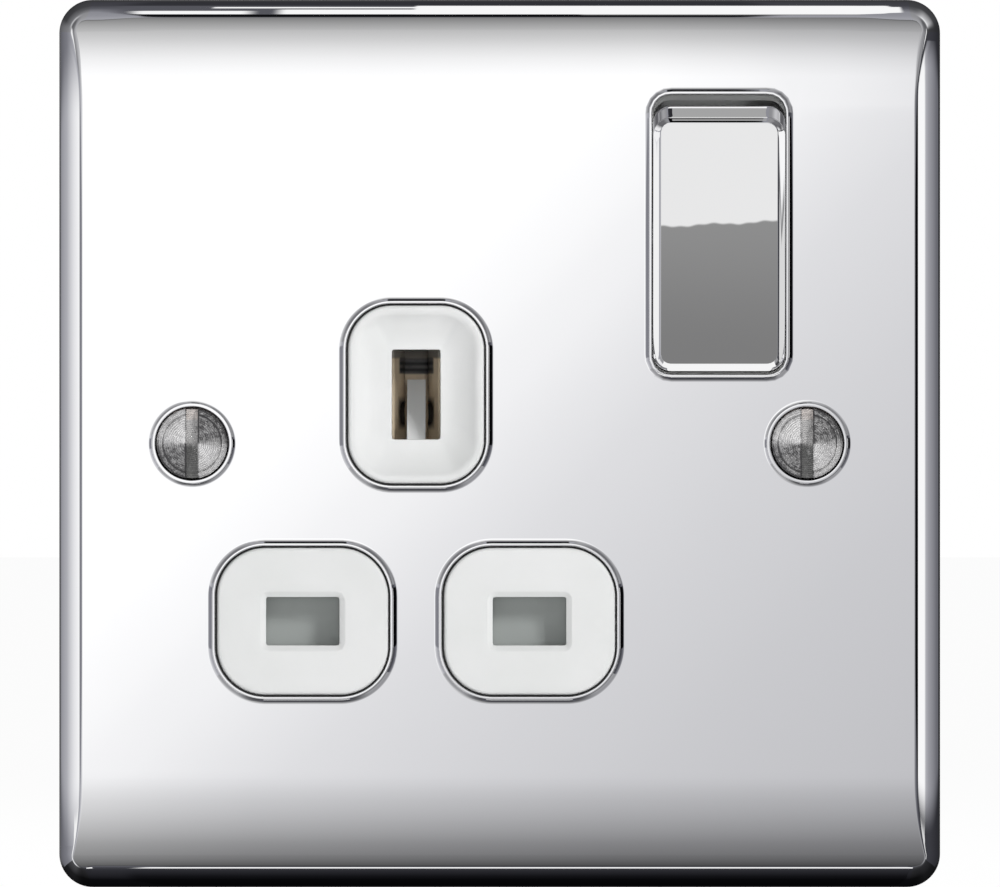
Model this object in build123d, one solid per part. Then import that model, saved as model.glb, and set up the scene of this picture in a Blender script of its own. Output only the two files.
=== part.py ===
from build123d import *
import os
from math import asin, cos, degrees, radians, sin, tan

os.makedirs("parts", exist_ok=True)

# Single switched wall socket for three-pin rectangular plugs, with a pressed metal front plate.
# All sizes are millimetres. The pieces are laid out as on a bench, face up: x to the right,
# y up the wall, z out of the wall, the wall's surface at z = 0 and the origin midway between
# the fixing screws. They are stood up against the wall when they are written out.
# The switch is shown ON, so the top of the rocker stands proud.

# Front plate, pressed from sheet
plate_width = 86.5
plate_height = 87.2
plate_corner_radius = 3.3
plate_rise = 6.5
sheet = 1.0
side_edge_radius = 4.0
side_edge_rise = 0.55
end_edge_radius = 5.0
end_edge_rise = 0.38
pillow_flat = 72.0
pillow_radius = 20.0
collar_width = 0.4
collar_flare = 0.35
collar_height = 0.75
tab_width = 6.0
tab_reach = 2.6
tab_thickness = 0.8
tab_spots = ((-22.0, 1), (4.0, 1), (-22.0, -1), (22.0, -1))

# Windows in the plate, and where they are
earth_window_width = 13.65
earth_window_height = 17.95
earth_window_radius = 4.5
pin_window_width = 16.65
pin_window_height = 14.95
pin_window_radius = 4.9
rocker_window_width = 12.9
rocker_window_height = 27.5
rocker_window_radius = 1.8
outlet_x = -8.2
earth_y = 4.8
pin_pitch = 22.23
earth_to_pin_row = 22.23
rocker_x = 21.5
rocker_y = 20.5

# Pin slots, and the plug's pins that they take
earth_slot_width = 4.75
earth_slot_height = 8.8
pin_slot_width = 7.2
pin_slot_height = 4.75
slot_bevel = 0.7
earth_dish_rim = 0.9
earth_dish_depth = 1.5
earth_dish_taper = 64.0
earth_pin_length = 22.7
line_pin_length = 17.7

# Mouldings
insert_gap = 0.1
insert_rise = 0.6
web = 2.5
web_width = 70.0
web_margin = 0.4
body_width = 64.0
body_height = 64.0
body_corner = 2.5
body_depth = 19.2
lug_notch_width = 7.0
lug_notch_height = 16.0
floor = 2.0
core_wall = 1.8

# Fixing screws
screw_pitch = 60.3
screw_thread_radius = 1.75
screw_head_radius = 3.45
screw_dome = 0.7
screw_crown_radius = 1.9
screw_slot_width = 1.13
screw_slot_depth = 1.2
screw_tip_z = -20.0
screw_seat_radius = 2.5
screw_hole_radius = 3.3
screw_seat_gap = 0.05

# Screws that hold the mouldings together, and the posts that they enter
post_spots = ((-28.4, 23.5), (26.4, -22.5))
post_width = 5.0
post_length = 7.0
post_screw_radius = 1.4
post_head_radius = 2.5
post_head_height = 1.5
post_head_z = -11.0
post_screw_grip = 6.0

# Contacts and strips
leaf = 0.8
clip_width = 6.4
clip_inside = 5.2
clip_throat = 3.6
clip_mouth = 5.4
clip_mouth_z = -1.4
clip_throat_z = -4.6
clip_bend = 0.5
pin_end_room = 1.6
earth_pin_end_room = 0.3
earth_clip_inside = 5.2
earth_clip_throat = 2.2
earth_clip_mouth = 4.3
earth_leaf_width = 9.0
strip_width = 5.0
switch_strip_width = 4.0
fit_gap = 0.2

# Terminals
terminal_width = 8.5
terminal_height = 11.0
terminal_thickness = 8.8
terminal_y = 24.0
neutral_terminal_x = -20.9
line_terminal_x = 6.0
wire_bore_radius = 2.1
wire_bore_depth = 7.5
wire_bore_lift = 5.0
wire_entry_gap = 0.4
tail_depth = 2.4
feed_tail_depth = 1.5
clamp_screw_radius = 1.75
clamp_screw_gap = 0.05
clamp_screw_proud = 1.2
clamp_slot_depth = 1.0
strap_width = 5.0
strap_thickness = 0.6
strap_flange = 6.0
strap_foot = 5.0

# Shutter and its spring
shutter_thickness = 2.4
shutter_gap = 0.15
shutter_overlap = 0.6
shutter_travel = 5.5
shutter_stem_width = 4.8
ramp_width = 1.8
ramp_run = 6.0
ramp_foot_y = 0.3
ramp_thickness = 1.5
shutter_spring_length = 9.0
shutter_spring_radius = 0.95
shutter_spring_wire = 0.2
shutter_spring_turns = 5.5
coil_runs = 6

# Switch
rocker_half_angle = 7.0
pivot_z = 3.0
rocker_gap = 0.15
rocker_end_gap = 0.15
rocker_draft = 10.0
rocker_height = 5.8
rocker_foot = 2.0
rocker_edge = 0.5
rocker_corner_radius = 1.5
cap_wall = 1.0
cap_fit = 0.05
carrier_body = 10.0
carrier_drop = 1.8
trunnion_radius = 1.25
trunnion_gap = 0.05
trunnion_grip = 1.0
frame_wall = 1.6
frame_z = 0.5
frame_pocket_z = 2.8
frame_throat = 19.0
barrel_wall = 1.0
barrel_length = 6.5
plunger_radius = 1.4
plunger_fit = 0.08
plunger_reach = 8.0
plunger_length = 4.2
plunger_gap = 0.3
plunger_spring_wire = 0.17
plunger_spring_turns = 3.5
bar_half_angle = 10.0
bar_width = 5.0
bar_length = 15.0
bar_thickness = 1.2
fulcrum_radius = 0.5
fulcrum_gap = 0.08
fulcrum_width = 4.4
tip_arm = 6.0
tip_width = 3.0
tip_height = 0.7
tip_gap = 0.05
chamber_room = 1.0

# Heights and places worked out from the sizes above
face_z = plate_rise
back_z = face_z - sheet
collar_z = face_z + collar_height
insert_z = face_z + insert_rise
web_z = back_z - web
web_height = pillow_flat - web_margin
body_back_z = -body_depth
pin_row_y = earth_y - earth_to_pin_row
neutral_x = outlet_x - pin_pitch / 2
line_x = outlet_x + pin_pitch / 2
pocket_base_z = body_back_z + floor
clip_base_z = insert_z - line_pin_length - pin_end_room - leaf
earth_base_z = insert_z - earth_pin_length - earth_pin_end_room - leaf
terminal_low_y = terminal_y - terminal_height / 2
terminal_high_y = terminal_y + terminal_height / 2
terminal_front_z = pocket_base_z + terminal_thickness
wire_z = pocket_base_z + wire_bore_lift
clamp_y = terminal_high_y - wire_bore_depth / 2
shutter_top_z = web_z - shutter_gap
shutter_low_z = shutter_top_z - shutter_thickness
shutter_floor_z = shutter_low_z - shutter_gap
wing_half_width = pin_pitch / 2 + pin_slot_width / 2 + shutter_overlap
wing_half_height = pin_slot_height / 2 + shutter_overlap
wing_low_y = pin_row_y - wing_half_height
wing_high_y = pin_row_y + wing_half_height
spring_low_y = wing_low_y - shutter_spring_length
run_x = rocker_x - bar_width / 2 - fit_gap - clip_bend
frame_half_width = rocker_window_width / 2 + rocker_gap + frame_wall
frame_half_height = web_height / 2 - rocker_y

# The sprung plunger's ball rides on the see-saw bar: the bar's pivot is set so far below the
# rocker's pivot that the ball clears the tilted bar by plunger_gap at either end of the throw.
ball_y = plunger_reach * sin(radians(rocker_half_angle))
ball_drop = plunger_reach * cos(radians(rocker_half_angle))
bar_slope = radians(bar_half_angle)
bar_pivot_drop = (
    ball_drop
    - ball_y * tan(bar_slope)
    + (bar_thickness + plunger_radius + plunger_gap) / cos(bar_slope)
)
bar_pivot_z = pivot_z - bar_pivot_drop
tip_level = -tip_height - tip_gap
fixed_tip_y = rocker_y + tip_arm * cos(bar_slope) + tip_level * sin(bar_slope)
fixed_tip_z = bar_pivot_z - tip_arm * sin(bar_slope) + tip_level * cos(bar_slope)
feed_top_z = fixed_tip_z - tip_height
feed_low_z = feed_top_z - leaf


def block(x0, x1, y0, y1, z0, z1):
    """A box between two corners."""
    return Pos((x0 + x1) / 2, (y0 + y1) / 2, (z0 + z1) / 2) * Box(x1 - x0, y1 - y0, z1 - z0)


def about(x, y, width, height, z0, z1):
    """A box centred on a point of the face."""
    return block(x - width / 2, x + width / 2, y - height / 2, y + height / 2, z0, z1)


def rounded(x, y, width, height, radius, z0, z1):
    """A prism with round corners, centred on a point of the face."""
    return Pos(x, y, z0) * extrude(RectangleRounded(width, height, radius), z1 - z0)


def rod(x, y, radius, z0, z1):
    """A round bar along z."""
    return Pos(x, y, (z0 + z1) / 2) * Cylinder(radius, z1 - z0)


def rod_x(x0, x1, y, z, radius):
    """A round bar along x."""
    return Pos((x0 + x1) / 2, y, z) * Rot(0, 90, 0) * Cylinder(radius, x1 - x0)


def rod_y(x, y0, y1, z, radius):
    """A round bar along y."""
    return Pos(x, (y0 + y1) / 2, z) * Rot(90, 0, 0) * Cylinder(radius, y1 - y0)


def funnel(x, y, low, z0, high, z1):
    """A hole that widens on flat sides from the low outline to the high one."""
    return loft(Sketch() + [Pos(x, y, z0) * low, Pos(x, y, z1) * high], ruled=True)


def bent_strip(points, thickness):
    """The section of a bent strip: a path and its parallel, on the left of the path."""
    path = Polyline(*points)
    band = offset(path, amount=thickness, side=Side.LEFT, closed=True, kind=Kind.INTERSECTION)
    return make_face(band.edges())


def coil(radius, wire, length, turns):
    """A spring along z that starts at the origin, its wire bent in short runs along a helix."""
    helix = Helix(length / turns, length, radius)
    runs = round(turns * coil_runs)
    path = Polyline(*[helix @ (i / runs) for i in range(runs + 1)])
    section = Plane(path @ 0, z_dir=path % 0) * Rectangle(2 * wire, 2 * wire)
    return sweep(section, path, transition=Transition.RIGHT)


def edge_slab(span, radius, rise, inset):
    """A section with its two top corners rolled over, as wide as the plate."""
    top = face_z + rise - inset
    low = -sheet
    slab = Pos(0, (top + low) / 2) * Rectangle(span - 2 * inset, top - low)
    return fillet(slab.vertices().sort_by(Axis.Y)[-2:], radius - inset)


def pillow_section(inset):
    """A section with a flat middle and ends that fall away on an arc, as tall as the plate."""
    half_flat = pillow_flat / 2
    radius = pillow_radius - inset
    reach = plate_height / 2 + sheet - half_flat
    turn = degrees(asin(reach / radius))
    centre_z = face_z - pillow_radius
    right = CenterArc((half_flat, centre_z), radius, 90 - turn, turn)
    left = CenterArc((-half_flat, centre_z), radius, 90, turn)
    top = Line(right @ 1, left @ 0)
    skirt = Polyline(left @ 1, ((left @ 1).X, -sheet), ((right @ 0).X, -sheet), right @ 0)
    return make_face([right, top, left, skirt])


def pressing(inset):
    """The plate's form: its pillow, side rolls, end rolls and plan, all brought in by inset."""
    side_view = Plane.YZ * pillow_section(inset)
    end_rolls = Plane.YZ * edge_slab(plate_height, end_edge_radius, end_edge_rise, inset)
    side_rolls = Plane.XZ * edge_slab(plate_width, side_edge_radius, side_edge_rise, inset)
    plan = rounded(
        0,
        0,
        plate_width - 2 * inset,
        plate_height - 2 * inset,
        plate_corner_radius - inset,
        -sheet,
        plate_rise + sheet,
    )
    form = plan & extrude(side_view, plate_width, both=True)
    form &= extrude(end_rolls, plate_width, both=True)
    return form & extrude(side_rolls, plate_height, both=True)


def windows():
    """Place and size of each window in the plate, as (x, y, width, height, radius)."""
    earth = (outlet_x, earth_y, earth_window_width, earth_window_height, earth_window_radius)
    pin = (pin_window_width, pin_window_height, pin_window_radius)
    rocker = (rocker_window_width, rocker_window_height, rocker_window_radius)
    return [
        earth,
        (neutral_x, pin_row_y, *pin),
        (line_x, pin_row_y, *pin),
        (rocker_x, rocker_y, *rocker),
    ]


def screw_seat(x):
    """The countersunk hole for one fixing screw."""
    mouth = screw_head_radius + screw_seat_gap
    cone_depth = mouth - screw_seat_radius
    low = collar_z - cone_depth
    cone = Pos(x, 0, (low + collar_z) / 2) * Cone(screw_seat_radius, mouth, cone_depth)
    return cone + rod(x, 0, screw_seat_radius, back_z - sheet, low)


def make_front_plate():
    """The pressed plate: a thin tray with collared windows and four tabs folded behind the web."""
    plate = pressing(0) - pressing(sheet)
    plate -= about(0, 0, 2 * plate_width, 2 * plate_height, -2 * sheet, 0)
    foot = collar_width + collar_flare
    for x, y, width, height, radius in windows():
        size = (width + 2 * foot, height + 2 * foot, radius + foot)
        rim = rounded(x, y, *size, back_z, collar_z)
        top = rim.faces().sort_by(Axis.Z)[-1]
        plate += chamfer(top.edges(), collar_flare, collar_height, reference=top)
    for side in (-1, 1):
        top = screw_head_radius + collar_width
        rim = Cone(top + collar_flare, top, collar_height)
        plate += Pos(side * screw_pitch / 2, 0, face_z + collar_height / 2) * rim
    hook_z = web_z - fit_gap
    hook_low_z = hook_z - tab_thickness
    for x, side in tab_spots:
        fold_y = side * (web_height / 2 + fit_gap + tab_thickness / 2)
        hook_y = side * (web_height / 2 + fit_gap + tab_thickness - tab_reach / 2)
        plate += about(x, fold_y, tab_width, tab_thickness, hook_low_z, back_z + sheet / 2)
        plate += about(x, hook_y, tab_width, tab_reach, hook_low_z, hook_z)
    for x, y, width, height, radius in windows():
        plate -= rounded(x, y, width, height, radius, 0, collar_z + sheet)
    for side in (-1, 1):
        plate -= screw_seat(side * screw_pitch / 2)
    return plate


def make_fixing_screw(x):
    """One raised countersunk screw, with its slot upright."""
    cone_depth = screw_head_radius - screw_thread_radius
    crown_z = collar_z + screw_dome
    outline = Polyline(
        (0, crown_z),
        (screw_crown_radius, crown_z),
        (screw_head_radius, collar_z),
        (screw_thread_radius, collar_z - cone_depth),
        (screw_thread_radius, screw_tip_z),
        (0, screw_tip_z),
        close=True,
    )
    screw = revolve(Plane.XZ * make_face(outline), Axis.Z)
    slot = about(
        0,
        0,
        screw_slot_width,
        4 * screw_head_radius,
        crown_z - screw_slot_depth,
        crown_z + screw_dome,
    )
    return Pos(x, 0, 0) * (screw - slot)


def pin_slots():
    """The three pin slots with their bevelled mouths."""
    slots = []
    low = Rectangle(pin_slot_width, pin_slot_height)
    high = Rectangle(pin_slot_width + 2 * slot_bevel, pin_slot_height + 2 * slot_bevel)
    for x in (neutral_x, line_x):
        slots.append(about(x, pin_row_y, pin_slot_width, pin_slot_height, frame_z, insert_z))
        slots.append(funnel(x, pin_row_y, low, insert_z - slot_bevel, high, insert_z))
    slots.append(about(outlet_x, earth_y, earth_slot_width, earth_slot_height, frame_z, insert_z))
    dish = RectangleRounded(
        earth_window_width - 2 * insert_gap - 2 * earth_dish_rim,
        earth_window_height - 2 * insert_gap - 2 * earth_dish_rim,
        earth_window_radius - insert_gap - earth_dish_rim,
    )
    hollow = extrude(dish, -earth_dish_depth, taper=earth_dish_taper)
    slots.append(Pos(outlet_x, earth_y, insert_z) * hollow)
    return slots


def make_front_moulding():
    """The white moulding: a web behind the plate, three bosses, the rocker's frame and posts."""
    moulding = about(0, 0, web_width, web_height, web_z, back_z)
    for x, y, width, height, radius in windows()[:3]:
        shrink = 2 * insert_gap
        size = (width - shrink, height - shrink, radius - insert_gap)
        moulding += rounded(x, y, *size, back_z, insert_z)
    moulding += about(
        rocker_x, rocker_y, 2 * frame_half_width, 2 * frame_half_height, frame_z, back_z
    )
    for x, y in post_spots:
        moulding += about(x, y, post_width, post_width, web_z - post_length, web_z)
    for slot in pin_slots():
        moulding -= slot
    well_width = rocker_window_width + 2 * rocker_gap
    well_height = rocker_window_height + 2 * rocker_gap
    moulding -= about(rocker_x, rocker_y, well_width, frame_throat, frame_z, back_z)
    moulding -= about(rocker_x, rocker_y, well_width, well_height, frame_pocket_z, back_z)
    trunnion_half = well_width / 2 + trunnion_grip + fit_gap
    moulding -= rod_x(
        rocker_x - trunnion_half,
        rocker_x + trunnion_half,
        rocker_y,
        pivot_z,
        trunnion_radius + trunnion_gap,
    )
    for side in (-1, 1):
        notch = (web_width - screw_pitch) / 2 + screw_hole_radius
        moulding -= about(
            side * (web_width - notch) / 2, 0, notch, 2 * screw_hole_radius, web_z, back_z
        )
    for x, y in post_spots:
        top = web_z - post_length + post_screw_grip + fit_gap
        moulding -= rod(x, y, post_screw_radius + screw_seat_gap, web_z - post_length, top)
    strap_y = terminal_high_y - strap_thickness
    moulding -= block(
        outlet_x - strap_width / 2 - fit_gap,
        outlet_x + strap_width / 2 + fit_gap,
        strap_y - strap_thickness - fit_gap,
        strap_y + clip_bend + fit_gap,
        web_z,
        back_z,
    )
    moulding -= block(
        outlet_x - strap_width / 2 - fit_gap,
        outlet_x + strap_width / 2 + fit_gap,
        strap_y - strap_thickness - fit_gap,
        strap_y + strap_flange + fit_gap,
        back_z - strap_thickness,
        back_z,
    )
    return moulding


def clip(mouth, throat, inside, mouth_z, throat_z, base_z, width):
    """A sprung clip: two leaves that lean in to the throat and flare out at the mouth.

    It is drawn across the leaves and stands on base_z, centred on the origin.
    """
    top = base_z + leaf
    half = [
        (mouth / 2, mouth_z),
        (throat / 2, throat_z),
        (inside / 2, top + 2 * leaf),
        (inside / 2, top),
    ]
    mirror = [(-u, w) for u, w in reversed(half)]
    return extrude(Plane.XZ * bent_strip(half + mirror, leaf), width / 2, both=True)


def pin_clip(x):
    """A clip whose leaves lie above and below a flat pin."""
    shape = clip(
        clip_mouth, clip_throat, clip_inside, clip_mouth_z, clip_throat_z, clip_base_z, clip_width
    )
    return Pos(x, pin_row_y, 0) * Rot(0, 0, 90) * shape


def make_earth_contact():
    """The earth clip, with its leaves left and right of the pin, and its tail to the terminal."""
    shape = clip(
        earth_clip_mouth,
        earth_clip_throat,
        earth_clip_inside,
        clip_mouth_z,
        clip_throat_z,
        earth_base_z,
        earth_leaf_width,
    )
    tail_top = terminal_low_y + tail_depth
    tail = block(
        outlet_x - strip_width / 2,
        outlet_x + strip_width / 2,
        earth_y,
        tail_top,
        earth_base_z,
        earth_base_z + leaf,
    )
    return Pos(outlet_x, earth_y, 0) * shape + tail


def make_neutral_contact():
    """The neutral clip and its strip, which runs straight up to the terminal."""
    tail_top = terminal_low_y + tail_depth
    strip = block(
        neutral_x - strip_width / 2,
        neutral_x + strip_width / 2,
        pin_row_y,
        tail_top,
        clip_base_z,
        clip_base_z + leaf,
    )
    return pin_clip(neutral_x) + strip


def make_line_contact():
    """The line clip and its strip, which runs to the switch and turns up as the bar's fulcrum."""
    base = (clip_base_z, clip_base_z + leaf)
    left = run_x - switch_strip_width
    contact = pin_clip(line_x)
    contact += block(
        line_x, run_x, pin_row_y - strip_width / 2, pin_row_y + strip_width / 2, *base
    )
    contact += block(
        left, run_x, pin_row_y - strip_width / 2, rocker_y + strip_width / 2, *base
    )
    contact += block(
        left,
        rocker_x + fulcrum_width / 2,
        rocker_y - strip_width / 2,
        rocker_y + strip_width / 2,
        *base,
    )
    contact += about(
        rocker_x, rocker_y, fulcrum_width, 2 * fulcrum_radius, clip_base_z, bar_pivot_z
    )
    contact += rod_x(
        rocker_x - fulcrum_width / 2,
        rocker_x + fulcrum_width / 2,
        rocker_y,
        bar_pivot_z,
        fulcrum_radius,
    )
    return contact


def make_line_feed():
    """The strip from the line terminal's side to under the bar's closing end."""
    return block(
        line_terminal_x + terminal_width / 2 - feed_tail_depth,
        rocker_x + bar_width / 2,
        fixed_tip_y - strip_width / 2,
        fixed_tip_y + strip_width / 2,
        feed_low_z,
        feed_top_z,
    )


def terminal(x):
    """A terminal block with its wire bore from the top and clamp screw hole from the rear."""
    body = about(
        x, terminal_y, terminal_width, terminal_height, pocket_base_z, terminal_front_z
    )
    body -= rod_y(
        x, terminal_high_y - wire_bore_depth, terminal_high_y, wire_z, wire_bore_radius
    )
    return body - rod(x, clamp_y, clamp_screw_radius + clamp_screw_gap, pocket_base_z, wire_z)


def make_terminals():
    """The three terminal blocks, each slotted for the tail that is staked into it."""
    tail = (terminal_low_y, terminal_low_y + tail_depth)
    pieces = {}
    for name, x, tail_x, base_z in (
        ("earth_terminal", outlet_x, outlet_x, earth_base_z),
        ("neutral_terminal", neutral_terminal_x, neutral_x, clip_base_z),
    ):
        slot = block(
            tail_x - strip_width / 2, tail_x + strip_width / 2, *tail, base_z, base_z + leaf
        )
        pieces[name] = terminal(x) - slot
    pieces["line_terminal"] = terminal(line_terminal_x) - make_line_feed()
    return pieces


def make_terminal_screws():
    """The headless clamp screws, driven in as far as the wire bores."""
    tip_z = wire_z - wire_bore_radius - clamp_screw_gap
    end_z = pocket_base_z - clamp_screw_proud
    screws = []
    for x in (neutral_terminal_x, outlet_x, line_terminal_x):
        screw = rod(x, clamp_y, clamp_screw_radius, end_z, tip_z)
        screw -= about(
            x, clamp_y, 4 * clamp_screw_radius, screw_slot_width, end_z, end_z + clamp_slot_depth
        )
        screws.append(screw)
    return Part() + screws


def make_moulding_screws():
    """The slotted screws that draw the rear moulding to the front one."""
    screws = []
    for x, y in post_spots:
        tip_z = web_z - post_length + post_screw_grip
        screw = rod(x, y, post_screw_radius, post_head_z, tip_z)
        screw += rod(x, y, post_head_radius, post_head_z - post_head_height, post_head_z)
        slot_z = post_head_z - post_head_height
        screw -= about(
            x, y, 4 * post_head_radius, screw_slot_width, slot_z, slot_z + post_head_height / 2
        )
        screws.append(screw)
    return Part() + screws


def make_earth_strap():
    """The strip from the earth terminal's front, through the web, to the back of the plate."""
    riser_y = terminal_high_y - strap_thickness
    points = (
        (riser_y - strap_foot, terminal_front_z),
        (riser_y, terminal_front_z),
        (riser_y, back_z - strap_thickness),
        (riser_y + strap_flange, back_z - strap_thickness),
    )
    section = bent_strip(points, strap_thickness)
    return extrude(Plane.YZ.offset(outlet_x) * section, strap_width / 2, both=True)


def make_shutter():
    """The sliding shutter: a bar over the pin slots, a stem, and a ramp in the earth slot."""
    levels = (shutter_low_z, shutter_top_z)
    shutter = about(
        outlet_x, pin_row_y, 2 * wing_half_width, 2 * wing_half_height, *levels
    )
    shutter += block(
        outlet_x - shutter_stem_width / 2,
        outlet_x + shutter_stem_width / 2,
        pin_row_y,
        ramp_foot_y,
        *levels,
    )
    ramp = Polyline(
        (ramp_foot_y, shutter_top_z),
        (ramp_foot_y + ramp_run, shutter_top_z - ramp_run),
        (ramp_foot_y + ramp_run, shutter_top_z - ramp_run - ramp_thickness),
        (ramp_foot_y, shutter_low_z),
        close=True,
    )
    section = Plane.YZ.offset(outlet_x) * make_face(ramp)
    return shutter + extrude(section, ramp_width / 2, both=True)


def make_shutter_spring():
    """The return spring under the shutter's bar."""
    turns = shutter_spring_turns
    length = shutter_spring_length - 2 * shutter_spring_wire
    spring = coil(shutter_spring_radius, shutter_spring_wire, length, turns)
    middle_z = (shutter_low_z + shutter_top_z) / 2
    return Pos(outlet_x, wing_low_y - shutter_spring_wire, middle_z) * Rot(90, 0, 0) * spring


def cap_section(inset):
    """The rocker seen from its side, about its pivot: drafted ends and a flat top."""
    slope = tan(radians(rocker_draft))
    tilt = radians(rocker_half_angle)
    plate_back = back_z - pivot_z
    window_half = rocker_window_height / 2 - rocker_end_gap
    at_back = (window_half - plate_back * sin(tilt)) / cos(tilt)
    top = rocker_height - inset
    low = at_back - (rocker_foot - plate_back) * slope - inset
    high = at_back - (top - plate_back) * slope - inset
    return Polygon((high, top), (-high, top), (-low, rocker_foot), (low, rocker_foot), align=None)


def cap_form(inset):
    """The rocker's form, or the hollow in it where the wall is taken off."""
    width = rocker_window_width - 2 * rocker_gap - 2 * inset
    return extrude(Plane.YZ * cap_section(inset), width / 2, both=True)


def seat_rocker(piece):
    """Sets a piece drawn about the rocker's pivot in its place, tilted to ON."""
    return Pos(rocker_x, rocker_y, pivot_z) * Rot(rocker_half_angle, 0, 0) * piece


def make_rocker_cap():
    """The polished cap, a shell with soft edges."""
    cap = cap_form(0)
    corners = [e for e in cap.edges() if abs((e % 0.5).X) < 0.01 and abs((e % 0.5).Z) > 0.9]
    cap = fillet(corners, rocker_corner_radius)
    cap = chamfer(cap.faces().sort_by(Axis.Z)[-1].edges(), rocker_edge)
    return seat_rocker(cap - cap_form(cap_wall))


def make_rocker_carrier():
    """The moulded carrier that fills the cap, with its trunnions and the plunger's barrel."""
    well_half = rocker_window_width / 2 + rocker_gap
    width = rocker_window_width - 2 * rocker_gap - 2 * cap_wall
    carrier = cap_form(cap_wall + cap_fit)
    carrier += about(0, 0, width, carrier_body, -carrier_drop, rocker_foot)
    trunnion_half = well_half + trunnion_grip
    carrier += rod_x(-trunnion_half, trunnion_half, 0, 0, trunnion_radius)
    barrel = 2 * (plunger_radius + plunger_fit + barrel_wall)
    carrier += about(0, 0, barrel, barrel, -barrel_length, -carrier_drop)
    bore = 2 * (plunger_radius + plunger_fit)
    return seat_rocker(carrier - about(0, 0, bore, bore, -barrel_length, -carrier_drop / 2))


def make_plunger():
    """The flat-sided plunger in the carrier's barrel, with a half-round nose."""
    side = 2 * plunger_radius
    plunger = about(0, 0, side, side, -plunger_reach, plunger_length - plunger_reach)
    nose = rod_x(-plunger_radius, plunger_radius, 0, -plunger_reach, plunger_radius)
    return seat_rocker(plunger + nose)


def make_plunger_spring():
    """The spring that drives the plunger out of the barrel."""
    low = plunger_length - plunger_reach + plunger_spring_wire
    high = -carrier_drop / 2 - plunger_spring_wire
    radius = plunger_radius - plunger_spring_wire - plunger_fit
    spring = coil(radius, plunger_spring_wire, high - low, plunger_spring_turns)
    return seat_rocker(Pos(0, 0, low) * spring)


def seat_bar(piece):
    """Sets a piece drawn about the bar's fulcrum in its place, tilted to ON."""
    return Pos(rocker_x, rocker_y, bar_pivot_z) * Rot(-bar_half_angle, 0, 0) * piece


def make_moving_contact():
    """The see-saw bar, grooved where it rocks on the fulcrum."""
    bar = about(0, 0, bar_width, bar_length, 0, bar_thickness)
    return seat_bar(bar - rod_x(-bar_width, bar_width, 0, 0, fulcrum_radius + fulcrum_gap))


def make_moving_contact_tip():
    """The contact button under the bar's closing end."""
    return seat_bar(about(0, tip_arm, tip_width, tip_width, -tip_height, 0))


def make_fixed_contact_tip():
    """The contact button on the feed strip, faced to meet the tilted bar's button."""
    button = about(
        rocker_x, fixed_tip_y, tip_width, tip_width, feed_top_z, fixed_tip_z + tip_height
    )
    over = seat_bar(block(-bar_length, bar_length, 0, bar_length, tip_level, bar_length))
    return button - over


def make_rear_moulding():
    """The rear housing: one block, opened for everything that lies in it."""
    body = about(0, 0, body_width, body_height, body_back_z, web_z)
    body = chamfer(body.edges().filter_by(Axis.Z), body_corner)
    for side in (-1, 1):
        body -= about(
            side * (body_width / 2), 0, 2 * lug_notch_width, lug_notch_height, body_back_z, web_z
        )
    for pocket in contact_pockets() + switch_pockets() + shutter_pockets() + rear_cores():
        body -= pocket
    for x, y in post_spots:
        post_z = web_z - post_length - fit_gap
        body -= about(x, y, post_width + 2 * fit_gap, post_width + 2 * fit_gap, post_z, web_z)
        body -= rod(x, y, post_screw_radius + fit_gap, post_head_z, post_z)
        access = 2 * (post_head_radius + fit_gap)
        body -= about(x, y, access, access, body_back_z, post_head_z)
    return body


def channel(x, y0, y1, width, base_z):
    """An upright channel for a strip, open to the front."""
    half = width / 2 + fit_gap
    return block(x - half, x + half, y0, y1, base_z, web_z)


def contact_pockets():
    """Room for the clips, strips and terminals, with wire entries and clamp screw holes."""
    clip_half = clip_mouth / 2 + leaf + fit_gap
    pockets = []
    for x in (neutral_x, line_x):
        pockets.append(
            about(x, pin_row_y, clip_width + 2 * fit_gap, 2 * clip_half, clip_base_z, web_z)
        )
    pockets.append(channel(neutral_x, pin_row_y, terminal_low_y, strip_width, clip_base_z))
    row = (pin_row_y - strip_width / 2 - fit_gap, pin_row_y + strip_width / 2 + fit_gap)
    pockets.append(block(line_x, run_x + fit_gap, *row, clip_base_z, web_z))
    run_middle = run_x - switch_strip_width / 2
    run_high_y = rocker_y + strip_width / 2 + fit_gap
    pockets.append(channel(run_middle, row[0], run_high_y, switch_strip_width, clip_base_z))
    earth_half = earth_clip_inside / 2 + leaf + fit_gap
    pockets.append(
        about(
            outlet_x, earth_y, 2 * earth_half, earth_leaf_width + 2 * fit_gap, earth_base_z, web_z
        )
    )
    pockets.append(channel(outlet_x, earth_y, terminal_low_y, strip_width, earth_base_z))
    for x in (neutral_terminal_x, outlet_x, line_terminal_x):
        size = (terminal_width + 2 * fit_gap, terminal_height + 2 * fit_gap)
        pockets.append(about(x, terminal_y, *size, pocket_base_z, web_z))
        entry = wire_bore_radius + wire_entry_gap
        pockets.append(
            block(
                x - entry, x + entry, terminal_y, body_height / 2, wire_z - entry, wire_z + entry
            )
        )
        access = 2 * (clamp_screw_radius + wire_entry_gap)
        pockets.append(about(x, clamp_y, access, access, body_back_z, pocket_base_z))
    return pockets


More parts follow.
